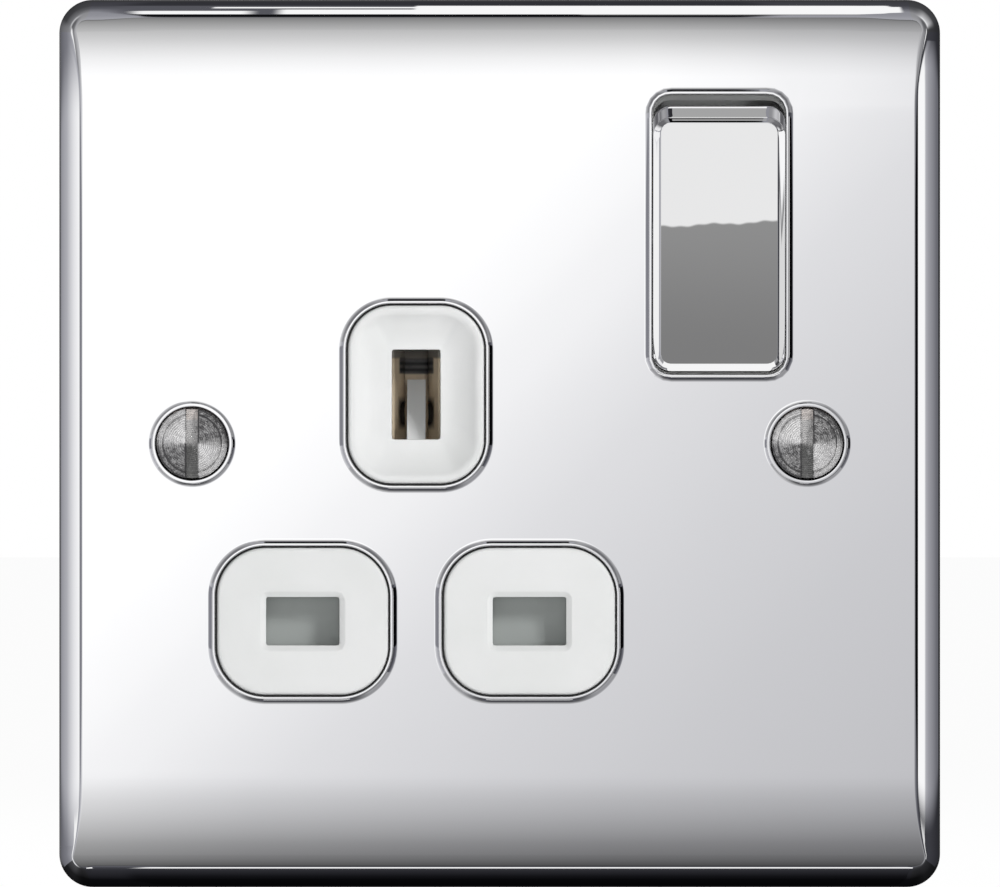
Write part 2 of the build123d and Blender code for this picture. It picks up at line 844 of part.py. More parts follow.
def switch_pockets():
    """Room for the rocker's frame, the see-saw bar and the feed strip."""
    half_width = bar_width / 2 + chamber_room
    low_y = rocker_y - bar_length / 2 - chamber_room
    step_y = fixed_tip_y - strip_width / 2 - fit_gap
    high_y = fixed_tip_y + strip_width / 2 + fit_gap
    well_half = rocker_window_width / 2 + rocker_gap
    return [
        about(
            rocker_x,
            rocker_y,
            2 * (frame_half_width + fit_gap),
            2 * (frame_half_height + fit_gap),
            frame_z - fit_gap,
            web_z,
        ),
        block(rocker_x - well_half, rocker_x + well_half, low_y, step_y, clip_base_z, web_z),
        block(rocker_x - well_half, rocker_x + half_width, step_y, high_y, feed_low_z, web_z),
        block(line_terminal_x, rocker_x, step_y, high_y, feed_low_z, web_z),
    ]


def shutter_pockets():
    """Room for the shutter's travel and for its spring."""
    levels = (shutter_floor_z, web_z)
    stem_half = shutter_stem_width / 2 + fit_gap
    ramp_half = ramp_width / 2 + fit_gap
    spring_half = shutter_spring_radius + shutter_spring_wire + fit_gap
    return [
        block(
            outlet_x - wing_half_width - fit_gap,
            outlet_x + wing_half_width + fit_gap,
            wing_low_y - shutter_travel - fit_gap,
            wing_high_y + fit_gap,
            *levels,
        ),
        block(outlet_x - stem_half, outlet_x + stem_half, pin_row_y, earth_y, *levels),
        block(
            outlet_x - ramp_half,
            outlet_x + ramp_half,
            ramp_foot_y - shutter_travel - fit_gap,
            ramp_foot_y + ramp_run + fit_gap,
            shutter_top_z - ramp_run - ramp_thickness - fit_gap,
            web_z,
        ),
        block(outlet_x - spring_half, outlet_x + spring_half, spring_low_y, pin_row_y, *levels),
    ]


def rear_cores():
    """Hollows in the back that keep the moulding's walls even."""
    clip_half = clip_width / 2 + fit_gap + core_wall
    low_y = -body_height / 2 + core_wall
    middle_top = ramp_foot_y - shutter_travel - fit_gap - core_wall
    run_left = run_x - switch_strip_width - fit_gap
    earth_right = outlet_x + earth_clip_inside / 2 + leaf + fit_gap
    side_low_y = pin_row_y + clip_mouth / 2 + leaf + fit_gap + core_wall
    return [
        block(
            neutral_x + clip_half,
            line_x - clip_half,
            low_y,
            middle_top,
            body_back_z,
            shutter_floor_z - core_wall,
        ),
        block(
            earth_right + core_wall,
            run_left - core_wall,
            side_low_y,
            terminal_low_y - fit_gap - core_wall,
            body_back_z,
            shutter_floor_z - core_wall,
        ),
    ]


pieces = {
    "front_plate": make_front_plate(),
    "front_moulding": make_front_moulding(),
    "rear_moulding": make_rear_moulding(),
    "fixing_screws": Part() + [make_fixing_screw(side * screw_pitch / 2) for side in (-1, 1)],
    "moulding_screws": make_moulding_screws(),
    "earth_contact": make_earth_contact(),
    "neutral_contact": make_neutral_contact(),
    "line_contact": make_line_contact(),
    "line_feed": make_line_feed(),
    **make_terminals(),
    "terminal_screws": make_terminal_screws(),
    "earth_strap": make_earth_strap(),
    "shutter": make_shutter(),
    "shutter_spring": make_shutter_spring(),
    "rocker_cap": make_rocker_cap(),
    "rocker_carrier": make_rocker_carrier(),
    "plunger": make_plunger(),
    "plunger_spring": make_plunger_spring(),
    "moving_contact": make_moving_contact(),
    "moving_contact_tip": make_moving_contact_tip(),
    "fixed_contact_tip": make_fixed_contact_tip(),
}

# The bench lies face up, and the wall stands with its face along -y and its height along z.
stand = Rot(90, 0, 0)
for name, piece in pieces.items():
    export_step(stand * piece, f"parts/{name}.step")
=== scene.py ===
"""Looks of the switched wall socket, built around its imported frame.

Shapes are worked out in millimetres as the socket lies on a bench, face up: x to the right,
y up the wall and z out of the wall. They are stood up into the frame as their meshes are written.
"""

from __future__ import annotations

import logging
import math
from dataclasses import dataclass, field
from enum import Enum
from typing import Any, Callable, Sequence

import bmesh
import bpy
import numpy as np
from bpy.types import ColorRamp, Material, Mesh, NodeSocket, NodeTree, Object
from numpy.typing import NDArray
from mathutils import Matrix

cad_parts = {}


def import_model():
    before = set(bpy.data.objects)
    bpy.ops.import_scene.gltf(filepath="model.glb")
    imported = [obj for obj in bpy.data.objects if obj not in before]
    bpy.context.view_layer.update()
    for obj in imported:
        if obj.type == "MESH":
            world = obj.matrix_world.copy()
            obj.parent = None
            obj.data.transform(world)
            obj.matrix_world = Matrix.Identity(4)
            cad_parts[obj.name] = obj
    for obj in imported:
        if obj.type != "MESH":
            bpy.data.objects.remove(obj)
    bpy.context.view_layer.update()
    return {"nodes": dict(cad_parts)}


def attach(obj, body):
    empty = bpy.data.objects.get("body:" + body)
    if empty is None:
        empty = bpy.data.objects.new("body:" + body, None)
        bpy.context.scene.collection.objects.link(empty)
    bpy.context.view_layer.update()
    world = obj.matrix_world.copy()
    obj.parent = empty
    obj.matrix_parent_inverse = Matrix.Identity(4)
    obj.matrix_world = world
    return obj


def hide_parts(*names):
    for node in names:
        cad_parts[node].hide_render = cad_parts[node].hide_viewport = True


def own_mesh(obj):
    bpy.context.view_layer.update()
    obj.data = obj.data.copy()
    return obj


Array = NDArray[np.float64]
LOG = logging.getLogger("socket")
Span = tuple[float, float]
Triple = tuple[float, float, float]
MM = 0.001
# Mesh attribute that says where a surface gets painted crevice shade.
PAINTED_CREVICE_SHADE = "painted_crevice_shade"
WELD = 0.002 * MM
SLACK = 1e-6
TINY = 1e-9

# Places that several pieces share, in millimetres on the bench.
PLUG_X = -8.2
EARTH_Y = 4.8
SCREW_X = 30.15
ROCKER_X = 21.5
ROCKER_Y = 20.5

# Lines between the cells of the plate, and of the moulding behind it.
SEAM_LOW = -7.0
SEAM_LEFT = -18.0
SEAM_RIGHT = 8.0


class Body(Enum):
    """The frame's bodies that carry new pieces."""

    HOUSING = "housing"
    ROCKER = "rocker"


class Slot(Enum):
    """Material slots of the new pieces."""

    CHROME = "polished_chrome"
    WHITE = "white_moulding"
    NICKEL = "nickel_screw"
    SPRING = "spring_steel"
    BRONZE = "bronze"


def columns(*parts: Array) -> Array:
    """Joins arrays of single numbers into one of points, along a new last axis."""
    return np.stack(parts, axis=-1)


def stand(points: Array) -> Array:
    """Stands bench points up into the frame: (x, y, z) in millimetres to (x, -z, y) in metres."""
    return columns(points[..., 0], -points[..., 2], points[..., 1]) * MM


def smoothstep(share: Array) -> Array:
    """Eases 0 to 1 by 3s² - 2s³, held flat outside."""
    held = np.clip(share, 0.0, 1.0)
    return held * held * (3.0 - 2.0 * held)


def soft_min(a: Array, b: Array, width: Array) -> Array:
    """The lower of a and b, less (width - |a - b|)² / (4 width) where they are within width."""
    near = np.maximum(width - np.abs(a - b), 0.0)
    return np.minimum(a, b) - near * near / (4.0 * width)


def arc(centre: Span, radius: float, start: float, stop: float, steps: int) -> Array:
    """Points on a circle from one angle to another, in degrees, one more of them than steps."""
    turn = np.radians(np.linspace(start, stop, steps + 1))
    return columns(centre[0] + radius * np.cos(turn), centre[1] + radius * np.sin(turn))


def add_object(name: str, data: Any) -> Object:
    """Makes an object and links it to the scene.

    Args:
        name: Name of the object.
        data: Its mesh, lamp or camera.

    Returns:
        The new object.
    """
    made = bpy.data.objects.new(name, data)
    bpy.context.scene.collection.objects.link(made)
    return made


def weld(mesh: Mesh) -> None:
    """Joins points that all but meet, turns the faces outwards and shades them smooth.

    Args:
        mesh: The mesh.
    """
    work = bmesh.new()
    work.from_mesh(mesh)
    bmesh.ops.remove_doubles(work, verts=work.verts, dist=WELD)
    bmesh.ops.recalc_face_normals(work, faces=work.faces)
    work.to_mesh(mesh)
    work.free()
    mesh.polygons.foreach_set("use_smooth", np.ones(len(mesh.polygons), dtype=bool))


class Surface:
    """Collects grids of points and writes them as one welded mesh."""

    def __init__(self) -> None:
        """Starts empty."""
        self.points: list[Array] = []
        self.quads: list[NDArray[np.int64]] = []
        self.shades: list[Array] = []
        self.count = 0

    def grid(self, points: Array, closed: bool = False, shade: Array | None = None) -> None:
        """Adds a grid of quads.

        Args:
            points: Points as rows by columns by 3.
            closed: Whether the last column joins the first.
            shade: How much painted crevice shade each row gets, from 0 to 1.
        """
        rows, across = points.shape[:2]
        self.shades.append(np.repeat(np.zeros(rows) if shade is None else shade, across))
        index = np.arange(rows * across).reshape(rows, across) + self.count
        if closed:
            index = np.concatenate([index, index[:, :1]], axis=1)
        corners = [index[:-1, :-1], index[:-1, 1:], index[1:, 1:], index[1:, :-1]]
        self.quads.append(np.stack(corners, axis=-1).reshape(-1, 4))
        self.points.append(points.reshape(-1, 3))
        self.count += rows * across

    def build(self, name: str, sharp_degrees: float) -> Object:
        """Writes the mesh, welds its seams, turns its faces outwards and shades it smooth.

        Args:
            name: Name of the new object.
            sharp_degrees: Edges that turn by more than this stay sharp.

        Returns:
            The new object, linked to the scene.
        """
        points = stand(np.concatenate(self.points))
        quads = np.concatenate(self.quads)
        mesh = bpy.data.meshes.new(name)
        mesh.vertices.add(len(points))
        mesh.vertices.foreach_set("co", points.astype(np.float32).ravel())
        mesh.loops.add(quads.size)
        mesh.loops.foreach_set("vertex_index", quads.astype(np.int32).ravel())
        mesh.polygons.add(len(quads))
        mesh.polygons.foreach_set("loop_start", np.arange(0, quads.size, 4, dtype=np.int32))
        mesh.update(calc_edges=True)
        # Each point's share of painted crevice shade, carried by the mesh.
        painted_crevice_shade = mesh.attributes.new(PAINTED_CREVICE_SHADE, "FLOAT", "POINT")
        painted_crevice_shade.data.foreach_set("value", np.concatenate(self.shades).astype(np.float32))
        weld(mesh)
        mesh.set_sharp_from_angle(angle=math.radians(sharp_degrees))
        return add_object(name, mesh)


@dataclass(frozen=True)
class Opening:
    """A window with round corners, centred on a point of the face."""

    x: float
    y: float
    width: float
    height: float
    radius: float

    def rim(self, angles: Array, out: float = 0.0) -> Array:
        """Points of the outline in given directions, moved out along its normal.

        A ray from the centre meets the side, the end or the corner's circle, and the normal is
        that side's, that end's or the circle's own.

        Args:
            angles: Directions from the centre.
            out: Distance outwards from the outline.

        Returns:
            Points as an array of x and y.
        """
        away = columns(np.cos(angles), np.sin(angles))
        turned = np.abs(away)
        half = np.array([self.width / 2, self.height / 2])
        core = half - self.radius
        reach = half / np.maximum(turned, TINY)
        on_side = (reach[..., 0] <= reach[..., 1]) & (turned[..., 1] * reach[..., 0] <= core[1])
        on_end = (reach[..., 1] < reach[..., 0]) & (turned[..., 0] * reach[..., 1] <= core[0])
        along = turned @ core
        root = np.sqrt(np.maximum(along**2 - core @ core + self.radius**2, 0.0))
        length = np.where(on_side, reach[..., 0], np.where(on_end, reach[..., 1], along + root))
        spot = turned * length[..., None]
        corner = (spot - core) / max(self.radius, TINY)
        side, end = np.array([1.0, 0.0]), np.array([0.0, 1.0])
        normal = np.where(on_side[..., None], side, np.where(on_end[..., None], end, corner))
        return np.array([self.x, self.y]) + np.sign(away) * (spot + normal * out)

    def even_angles(self, count: int) -> Array:
        """Directions from the centre that space points evenly round the outline.

        Args:
            count: Number of points.

        Returns:
            The directions, in rising order.
        """
        dense = np.linspace(-math.pi, math.pi, 16 * count + 1)
        steps = np.linalg.norm(np.diff(self.rim(dense), axis=0), axis=1)
        run = np.concatenate([[0.0], np.cumsum(steps)])
        return np.interp(np.linspace(0.0, run[-1], count, endpoint=False), run, dense)

    def directions(self, spots: Array) -> Array:
        """Directions from the centre to given points."""
        return np.arctan2(spots[:, 1] - self.y, spots[:, 0] - self.x)

    def corner_angles(self) -> Array:
        """Directions from the centre to where the four corners would be."""
        turn = math.atan2(self.height, self.width)
        return np.array([turn, math.pi - turn, math.pi + turn, -turn])


@dataclass(frozen=True)
class Cell:
    """A rectangle of a panel, with at most one window in it."""

    x0: float
    x1: float
    y0: float
    y1: float
    window: Opening | None = None
    anchors: tuple[Opening, ...] = ()


class Panel:
    """A flat panel cut into cells whose borders share their points.

    Every border runs along lines at common x and y steps, so that patches made around different
    windows meet point to point.
    """

    def __init__(self, cells: Sequence[Cell], step: float) -> None:
        """Works out the common lines.

        Args:
            cells: The rectangles that make up the panel.
            step: Longest allowed span between two points of a border.
        """
        self.cells = list(cells)
        xs = {c.x0 for c in cells} | {c.x1 for c in cells}
        ys = {c.y0 for c in cells} | {c.y1 for c in cells}
        for cell in cells:
            for shape in cell.anchors:
                for angle in shape.corner_angles():
                    self._anchor(cell, shape, float(angle), xs, ys)
        self.x_lines = self._divide(sorted(xs), step)
        self.y_lines = self._divide(sorted(ys), step)

    @staticmethod
    def _anchor(cell: Cell, shape: Opening, angle: float, xs: set[float], ys: set[float]) -> None:
        """Adds the line where a ray through a slot's corner leaves its cell.

        Args:
            cell: The cell.
            shape: The slot.
            angle: Direction of the ray from the slot's centre.
            xs: Places of the upright lines, added to.
            ys: Places of the level lines, added to.
        """
        c, s = math.cos(angle), math.sin(angle)
        wall = (cell.x1 if c > 0 else cell.x0) - shape.x
        lid = (cell.y1 if s > 0 else cell.y0) - shape.y
        if wall / c < lid / s:
            ys.add(round(shape.y + s * wall / c, 4))
        else:
            xs.add(round(shape.x + c * lid / s, 4))

    @staticmethod
    def _divide(stops: Sequence[float], step: float) -> Array:
        """Splits each gap between stops into even spans.

        Args:
            stops: Places that get a line in any case, in rising order.
            step: Longest span.

        Returns:
            The places of all lines.
        """
        lines = []
        for low, high in zip(stops, stops[1:]):
            count = max(1, math.ceil((high - low) / step))
            lines.append(np.linspace(low, high, count, endpoint=False))
        return np.concatenate(lines + [np.array(stops[-1:])])

    def between(self, cell: Cell) -> tuple[Array, Array]:
        """The common lines from one side of a cell to the other, in x and in y."""
        sides = ((self.x_lines, cell.x0, cell.x1), (self.y_lines, cell.y0, cell.y1))
        return tuple(lines[(lines >= low - SLACK) & (lines <= high + SLACK)] for lines, low, high in sides)

    def lattice(self, cell: Cell) -> Array:
        """All crossings of the common lines in a cell, as rows by columns by 2."""
        return np.stack(np.meshgrid(*self.between(cell)), axis=-1)

    def border(self, cell: Cell) -> Array:
        """Points round a cell's border, counter-clockwise from its lower left corner.

        Args:
            cell: The cell.

        Returns:
            The points, as an array of x and y.
        """
        xs, ys = self.between(cell)
        low = columns(xs[:-1], np.full(len(xs) - 1, cell.y0))
        right = columns(np.full(len(ys) - 1, cell.x1), ys[:-1])
        high = columns(xs[:0:-1], np.full(len(xs) - 1, cell.y1))
        left = columns(np.full(len(ys) - 1, cell.x0), ys[:0:-1])
        return np.concatenate([low, right, high, left])


class Value:
    """A number that runs through a shader: operators on it add Math nodes."""

    def __init__(self, graph: Graph, socket: NodeSocket) -> None:
        """Wraps a socket of a graph."""
        self.graph = graph
        self.socket = socket

    def __add__(self, other: Operand) -> Value:
        """Sum."""
        return self.graph.math("ADD", self, other)

    def __sub__(self, other: Operand) -> Value:
        """Difference."""
        return self.graph.math("SUBTRACT", self, other)

    def __rsub__(self, other: Operand) -> Value:
        """Difference from a plain number."""
        return self.graph.math("SUBTRACT", other, self)

    def __mul__(self, other: Operand) -> Value:
        """Product."""
        return self.graph.math("MULTIPLY", self, other)

    def __truediv__(self, other: Operand) -> Value:
        """Quotient."""
        return self.graph.math("DIVIDE", self, other)

    __radd__ = __add__
    __rmul__ = __mul__


Operand = Value | float | int


class Graph:
    """A shader tree that is written as expressions."""

    def __init__(self, tree: NodeTree) -> None:
        """Takes over a tree and empties it."""
        self.tree = tree
        tree.nodes.clear()

    def node(
        self, kind: str, settings: Sockets | None = None, inputs: Sockets | None = None, output: str | int = 0
    ) -> Value:
        """Adds a node: its settings first, then the values or links of its sockets.

        Args:
            kind: Type of the node.
            settings: Properties of the node, with a ramp's stops under "stops".
            inputs: Plain values or links, by socket name or number.
            output: The socket to give back.

        Returns:
            The chosen output.
        """
        made = self.tree.nodes.new(kind)
        for key, value in (settings or {}).items():
            if key == "stops":
                self._set_stops(made.color_ramp, value)
            else:
                setattr(made, key, value)
        for key, value in (inputs or {}).items():
            if isinstance(value, Value):
                self.tree.links.new(value.socket, made.inputs[key])
            else:
                made.inputs[key].default_value = value
        return Value(self, made.outputs[output]) if made.outputs else Value(self, made.inputs[0])

    @staticmethod
    def _set_stops(ramp: ColorRamp, stops: Sequence[tuple[float, Sequence[float]]]) -> None:
        """Gives a ramp its stops.

        Args:
            ramp: The ramp.
            stops: Pairs of a place and a colour.
        """
        while len(ramp.elements) < len(stops):
            ramp.elements.new(1.0)
        for element, (place, colour) in zip(ramp.elements, stops):
            element.position = place
            element.color = (*colour, 1.0)

    def math(self, operation: str, *values: Operand) -> Value:
        """Adds a Math node."""
        return self.node("ShaderNodeMath", {"operation": operation}, dict(enumerate(values)))

    def clamp(self, value: Operand) -> Value:
        """Holds a number between 0 and 1."""
        return self.node("ShaderNodeClamp", {}, {"Value": value})

    def remap(self, value: Operand, low: float, high: float) -> Value:
        """Eases a number from 0 at low to 1 at high."""
        settings = {"interpolation_type": "SMOOTHSTEP"}
        return self.node("ShaderNodeMapRange", settings, {"Value": value, "From Min": low, "From Max": high})

    def band(self, value: Operand, rise: Span, fall: Span) -> Value:
        """1 between two stretches, over which a number eases up from 0 and down again."""
        return self.remap(value, *rise) * (1.0 - self.remap(value, *fall))

    def within(self, value: Operand, low: float, high: float, soft: float) -> Value:
        """1 from low to high, with both ends eased by soft each way."""
        return self.band(value, (low - soft, low + soft), (high - soft, high + soft))

    def mix(self, share: Operand, a: Any, b: Any) -> Value:
        """Mixes two colours."""
        return self.node("ShaderNodeMix", {"data_type": "RGBA"}, {0: share, 6: a, 7: b}, 2)

    def blend(self, way: str, a: Any, b: Any) -> Value:
        """Adds or multiplies two colours."""
        settings = {"data_type": "RGBA", "blend_type": way}
        return self.node("ShaderNodeMix", settings, {0: 1.0, 6: a, 7: b}, 2)

    def ramp(self, value: Value, stops: Sequence[tuple[float, Sequence[float]]]) -> Value:
        """Looks a number up in a colour ramp."""
        return self.node("ShaderNodeValToRGB", {"stops": stops}, {"Fac": value})

    def place(self) -> Value:
        """Object coordinates, in metres."""
        return self.node("ShaderNodeTexCoord", output="Object")

    def painted_crevice_shade(self) -> Value:
        """How much painted crevice shade a point gets, as its mesh says."""
        return self.node("ShaderNodeAttribute", {"attribute_name": PAINTED_CREVICE_SHADE}, output="Fac")

    def split(self, vector: Value) -> tuple[Value, Value, Value]:
        """The three numbers of a vector."""
        parts = self.node("ShaderNodeSeparateXYZ", {}, {0: vector}).socket.node.outputs
        return tuple(Value(self, part) for part in parts)

    def scaled(self, vector: Value, x: float, y: float, z: float) -> Value:
        """A vector scaled along its three axes."""
        return self.node("ShaderNodeMapping", {}, {"Vector": vector, "Scale": (x, y, z)})

    def noise(self, vector: Value, per_metre: float, detail: float = 2.0, rough: float = 0.5) -> Value:
        """Noise from 0 to 1 at so many waves to the metre."""
        inputs = {"Vector": vector, "Scale": per_metre, "Detail": detail, "Roughness": rough}
        return self.node("ShaderNodeTexNoise", {}, inputs)

    def bump(self, height: Value, depth_mm: float) -> Value:
        """A normal bent by a height from 0 to 1, as deep as given."""
        return self.node("ShaderNodeBump", {}, {"Height": height, "Distance": depth_mm * MM, "Strength": 1.0})


def new_material(name: str) -> tuple[Material, Graph]:
    """Makes a material with an empty shader.

    Args:
        name: Its name.

    Returns:
        The material and the graph of its shader.
    """
    made = bpy.data.materials.new(name)
    made.use_nodes = True
    return made, Graph(made.node_tree)


Colour = Triple
Sockets = dict[str | int, Any]


def opaque(colour: Colour) -> tuple[float, float, float, float]:
    """A colour with its alpha."""
    return (*colour, 1.0)


def grey(level: float, tint: float = 0.0) -> Colour:
    """The light of a display grey from 0 to 255, a little bluer by tint.

    Args:
        level: Display value.
        tint: Share by which blue exceeds red and green.

    Returns:
        Linear red, green and blue.
    """
    share = level / 255.0
    light = share / 12.92 if share <= 0.04045 else ((share + 0.055) / 1.055) ** 2.4
    return (light * (1.0 - 0.06 * tint), light, light * (1.0 + tint))


MATERIALS: dict[str, Material] = {}


@dataclass(frozen=True)
class Finish:
    """A surface finish, made into a material of its own."""

    name: str

    def material(self) -> Material:
        """The finish's material, made once and used by all pieces in that finish.

        Returns:
            The material.
        """
        if self.name not in MATERIALS:
            made, graph = new_material(self.name)
            shader = graph.node("ShaderNodeBsdfPrincipled", {}, self.sockets(graph))
            graph.node("ShaderNodeOutputMaterial", {}, {"Surface": shader})
            MATERIALS[self.name] = made
        return MATERIALS[self.name]

    def sockets(self, graph: Graph) -> Sockets:
        """What the finish gives to the shader's sockets."""
        raise NotImplementedError


@dataclass(frozen=True)
class MirrorChrome(Finish):
    """Polished chrome with faint handling haze and hairline polishing marks."""

    colour: Colour = (0.94, 0.94, 0.945)
    roughness: float = 0.012
    haze: float = 0.012
    hairline: float = 0.01
    haze_waves: float = 55.0
    haze_span: Span = (0.45, 0.75)
    hairline_waves: Triple = (300.0, 300.0, 9000.0)
    hairline_span: Span = (0.6, 0.8)
    dulling: float = 0.985
    dull_share: float = 0.6

    def sockets(self, graph: Graph) -> Sockets:
        """Roughness from broad haze and stretched hairlines, colour a touch duller in the haze.

        Args:
            graph: The shader.

        Returns:
            Values and links by socket.
        """
        place = graph.place()
        cloud = graph.remap(graph.noise(place, self.haze_waves, 4.0), *self.haze_span)
        stretched = graph.scaled(place, *self.hairline_waves)
        lines = graph.remap(graph.noise(stretched, 1.0, 3.0), *self.hairline_span)
        roughness = self.roughness + cloud * self.haze + lines * self.hairline
        dull = tuple(self.dulling * c for c in self.colour)
        colour = graph.mix(cloud * self.dull_share, opaque(self.colour), opaque(dull))
        return {"Base Color": colour, "Metallic": 1.0, "Roughness": roughness}


@dataclass(frozen=True)
class MouldedPlastic(Finish):
    """Glossy moulded plastic with a faint grain and a slightly uneven gloss."""

    colour: Colour = (0.84, 0.845, 0.84)
    shade: Colour = (0.80, 0.81, 0.80)
    # Near-black painted shade for marked crevices, such as the gaps round the bosses.
    painted_crevice_shade: Colour = (0.012, 0.012, 0.012)
    roughness: float = 0.22
    grain_mm: float = 0.004
    drift_waves: float = 90.0
    drift_span: Span = (0.3, 0.7)
    grain_waves: float = 4200.0
    gloss_waves: float = 260.0
    gloss_swing: float = 0.12

    def sockets(self, graph: Graph) -> Sockets:
        """Colour drifts slowly between two whites, fine grain bends the normal, marked crevices get painted
        shade.

        Args:
            graph: The shader.

        Returns:
            Values and links by socket.
        """
        place = graph.place()
        drift = graph.noise(place, self.drift_waves, 3.0)
        grain = graph.noise(place, self.grain_waves, 3.0, 0.6)
        gloss = self.roughness + (graph.noise(place, self.gloss_waves, 2.0) - 0.5) * self.gloss_swing
        white = graph.mix(graph.remap(drift, *self.drift_span), opaque(self.colour), opaque(self.shade))
        return {
            # Painted crevice shade darkens the white where the mesh marks it.
            "Base Color": graph.mix(graph.painted_crevice_shade(), white, opaque(self.painted_crevice_shade)),
            "Roughness": gloss,
            "Normal": graph.bump(grain, self.grain_mm),
            "IOR": 1.5,
        }


@dataclass(frozen=True)
class SheetMetal(Finish):
    """Plain rolled or plated metal with drawn grain and darker tarnish in patches."""

    colour: Colour = (0.8, 0.66, 0.47)
    tarnish: Colour = (0.46, 0.36, 0.25)
    roughness: float = 0.3
    metallic: float = 1.0
    grain_waves: Triple = (2500.0, 2500.0, 250.0)
    grain_mm: float = 0.006
    grain_dulls: float = 0.12
    patch_waves: float = 380.0
    patch_span: Span = (0.45, 0.72)
    patch_share: float = 0.7
    patch_dulls: float = 0.2
    # Near-black painted shade for marked crevices, such as the holes in the earth clip's leaves.
    painted_crevice_shade: Colour = (0.02, 0.016, 0.012)

    def sockets(self, graph: Graph) -> Sockets:
        """Grain is noise stretched along the strip, and tarnish is broad noise.

        Args:
            graph: The shader.

        Returns:
            Values and links by socket.
        """
        place = graph.place()
        patch = graph.remap(graph.noise(place, self.patch_waves, 5.0, 0.6), *self.patch_span)
        grain = graph.noise(graph.scaled(place, *self.grain_waves), 1.0, 3.0)
        metal = graph.mix(patch * self.patch_share, opaque(self.colour), opaque(self.tarnish))
        return {
            # Painted crevice shade darkens the metal where the mesh marks it.
            "Base Color": graph.mix(graph.painted_crevice_shade(), metal, opaque(self.painted_crevice_shade)),
            "Metallic": self.metallic,
            "Roughness": self.roughness + patch * self.patch_dulls + grain * self.grain_dulls,
            "Normal": graph.bump(grain, self.grain_mm),
        }


@dataclass(frozen=True)
class ClipBronze(SheetMetal):
    """The earth clip's bronze, with painted shade and painted ribs above the edge of its web."""

    colour: Colour = (0.97, 0.8, 0.59)
    tarnish: Colour = (0.8, 0.65, 0.47)
    metallic: float = 0.1
    middle: float = PLUG_X * MM
    flank: Span = (1.8 * MM, 1.55 * MM)
    recess: Span = (6.78 * MM, 7.0 * MM)
    crown: Span = (8.25 * MM, 8.6 * MM)
    rib_pitch: float = 0.62 * MM
    rib_waves: float = 1400.0
    rib_least: float = 0.2
    # Painted shade where the clip lies deep in the slot: near black between the ribs, grey ribs, brownish
    # grey at the top.
    deep: Colour = (0.03, 0.03, 0.032)
    painted_rib_shade: Colour = (0.24, 0.235, 0.23)
    painted_upper_shade: Colour = (0.36, 0.33, 0.29)

    def sockets(self, graph: Graph) -> Sockets:
        """Between the leaves and above the edge, painted shade with ribs that follow the sine of the height.

        Args:
            graph: The shader.

        Returns:
            Values and links by socket.
        """
        made = super().sockets(graph)
        place = graph.place()
        across, _, height = graph.split(place)
        wave = graph.math("SINE", height * (2 * math.pi / self.rib_pitch)) * 0.5 + 0.5
        band = graph.clamp(wave * (self.rib_least + graph.noise(place, self.rib_waves, 2.0)))
        ribbed = graph.mix(band, opaque(self.deep), opaque(self.painted_rib_shade))
        upper = graph.mix(graph.remap(height, *self.crown), ribbed, opaque(self.painted_upper_shade))
        inner = graph.remap(graph.math("ABSOLUTE", across - self.middle), *self.flank)
        inner = graph.math("MAXIMUM", inner, graph.remap(height, *self.crown))
        share = inner * graph.remap(height, *self.recess)
        # Painted shade with painted ribs takes the place of the bronze between the leaves above the web's
        # edge.
        made["Base Color"] = graph.mix(share, made["Base Color"], upper)
        return made


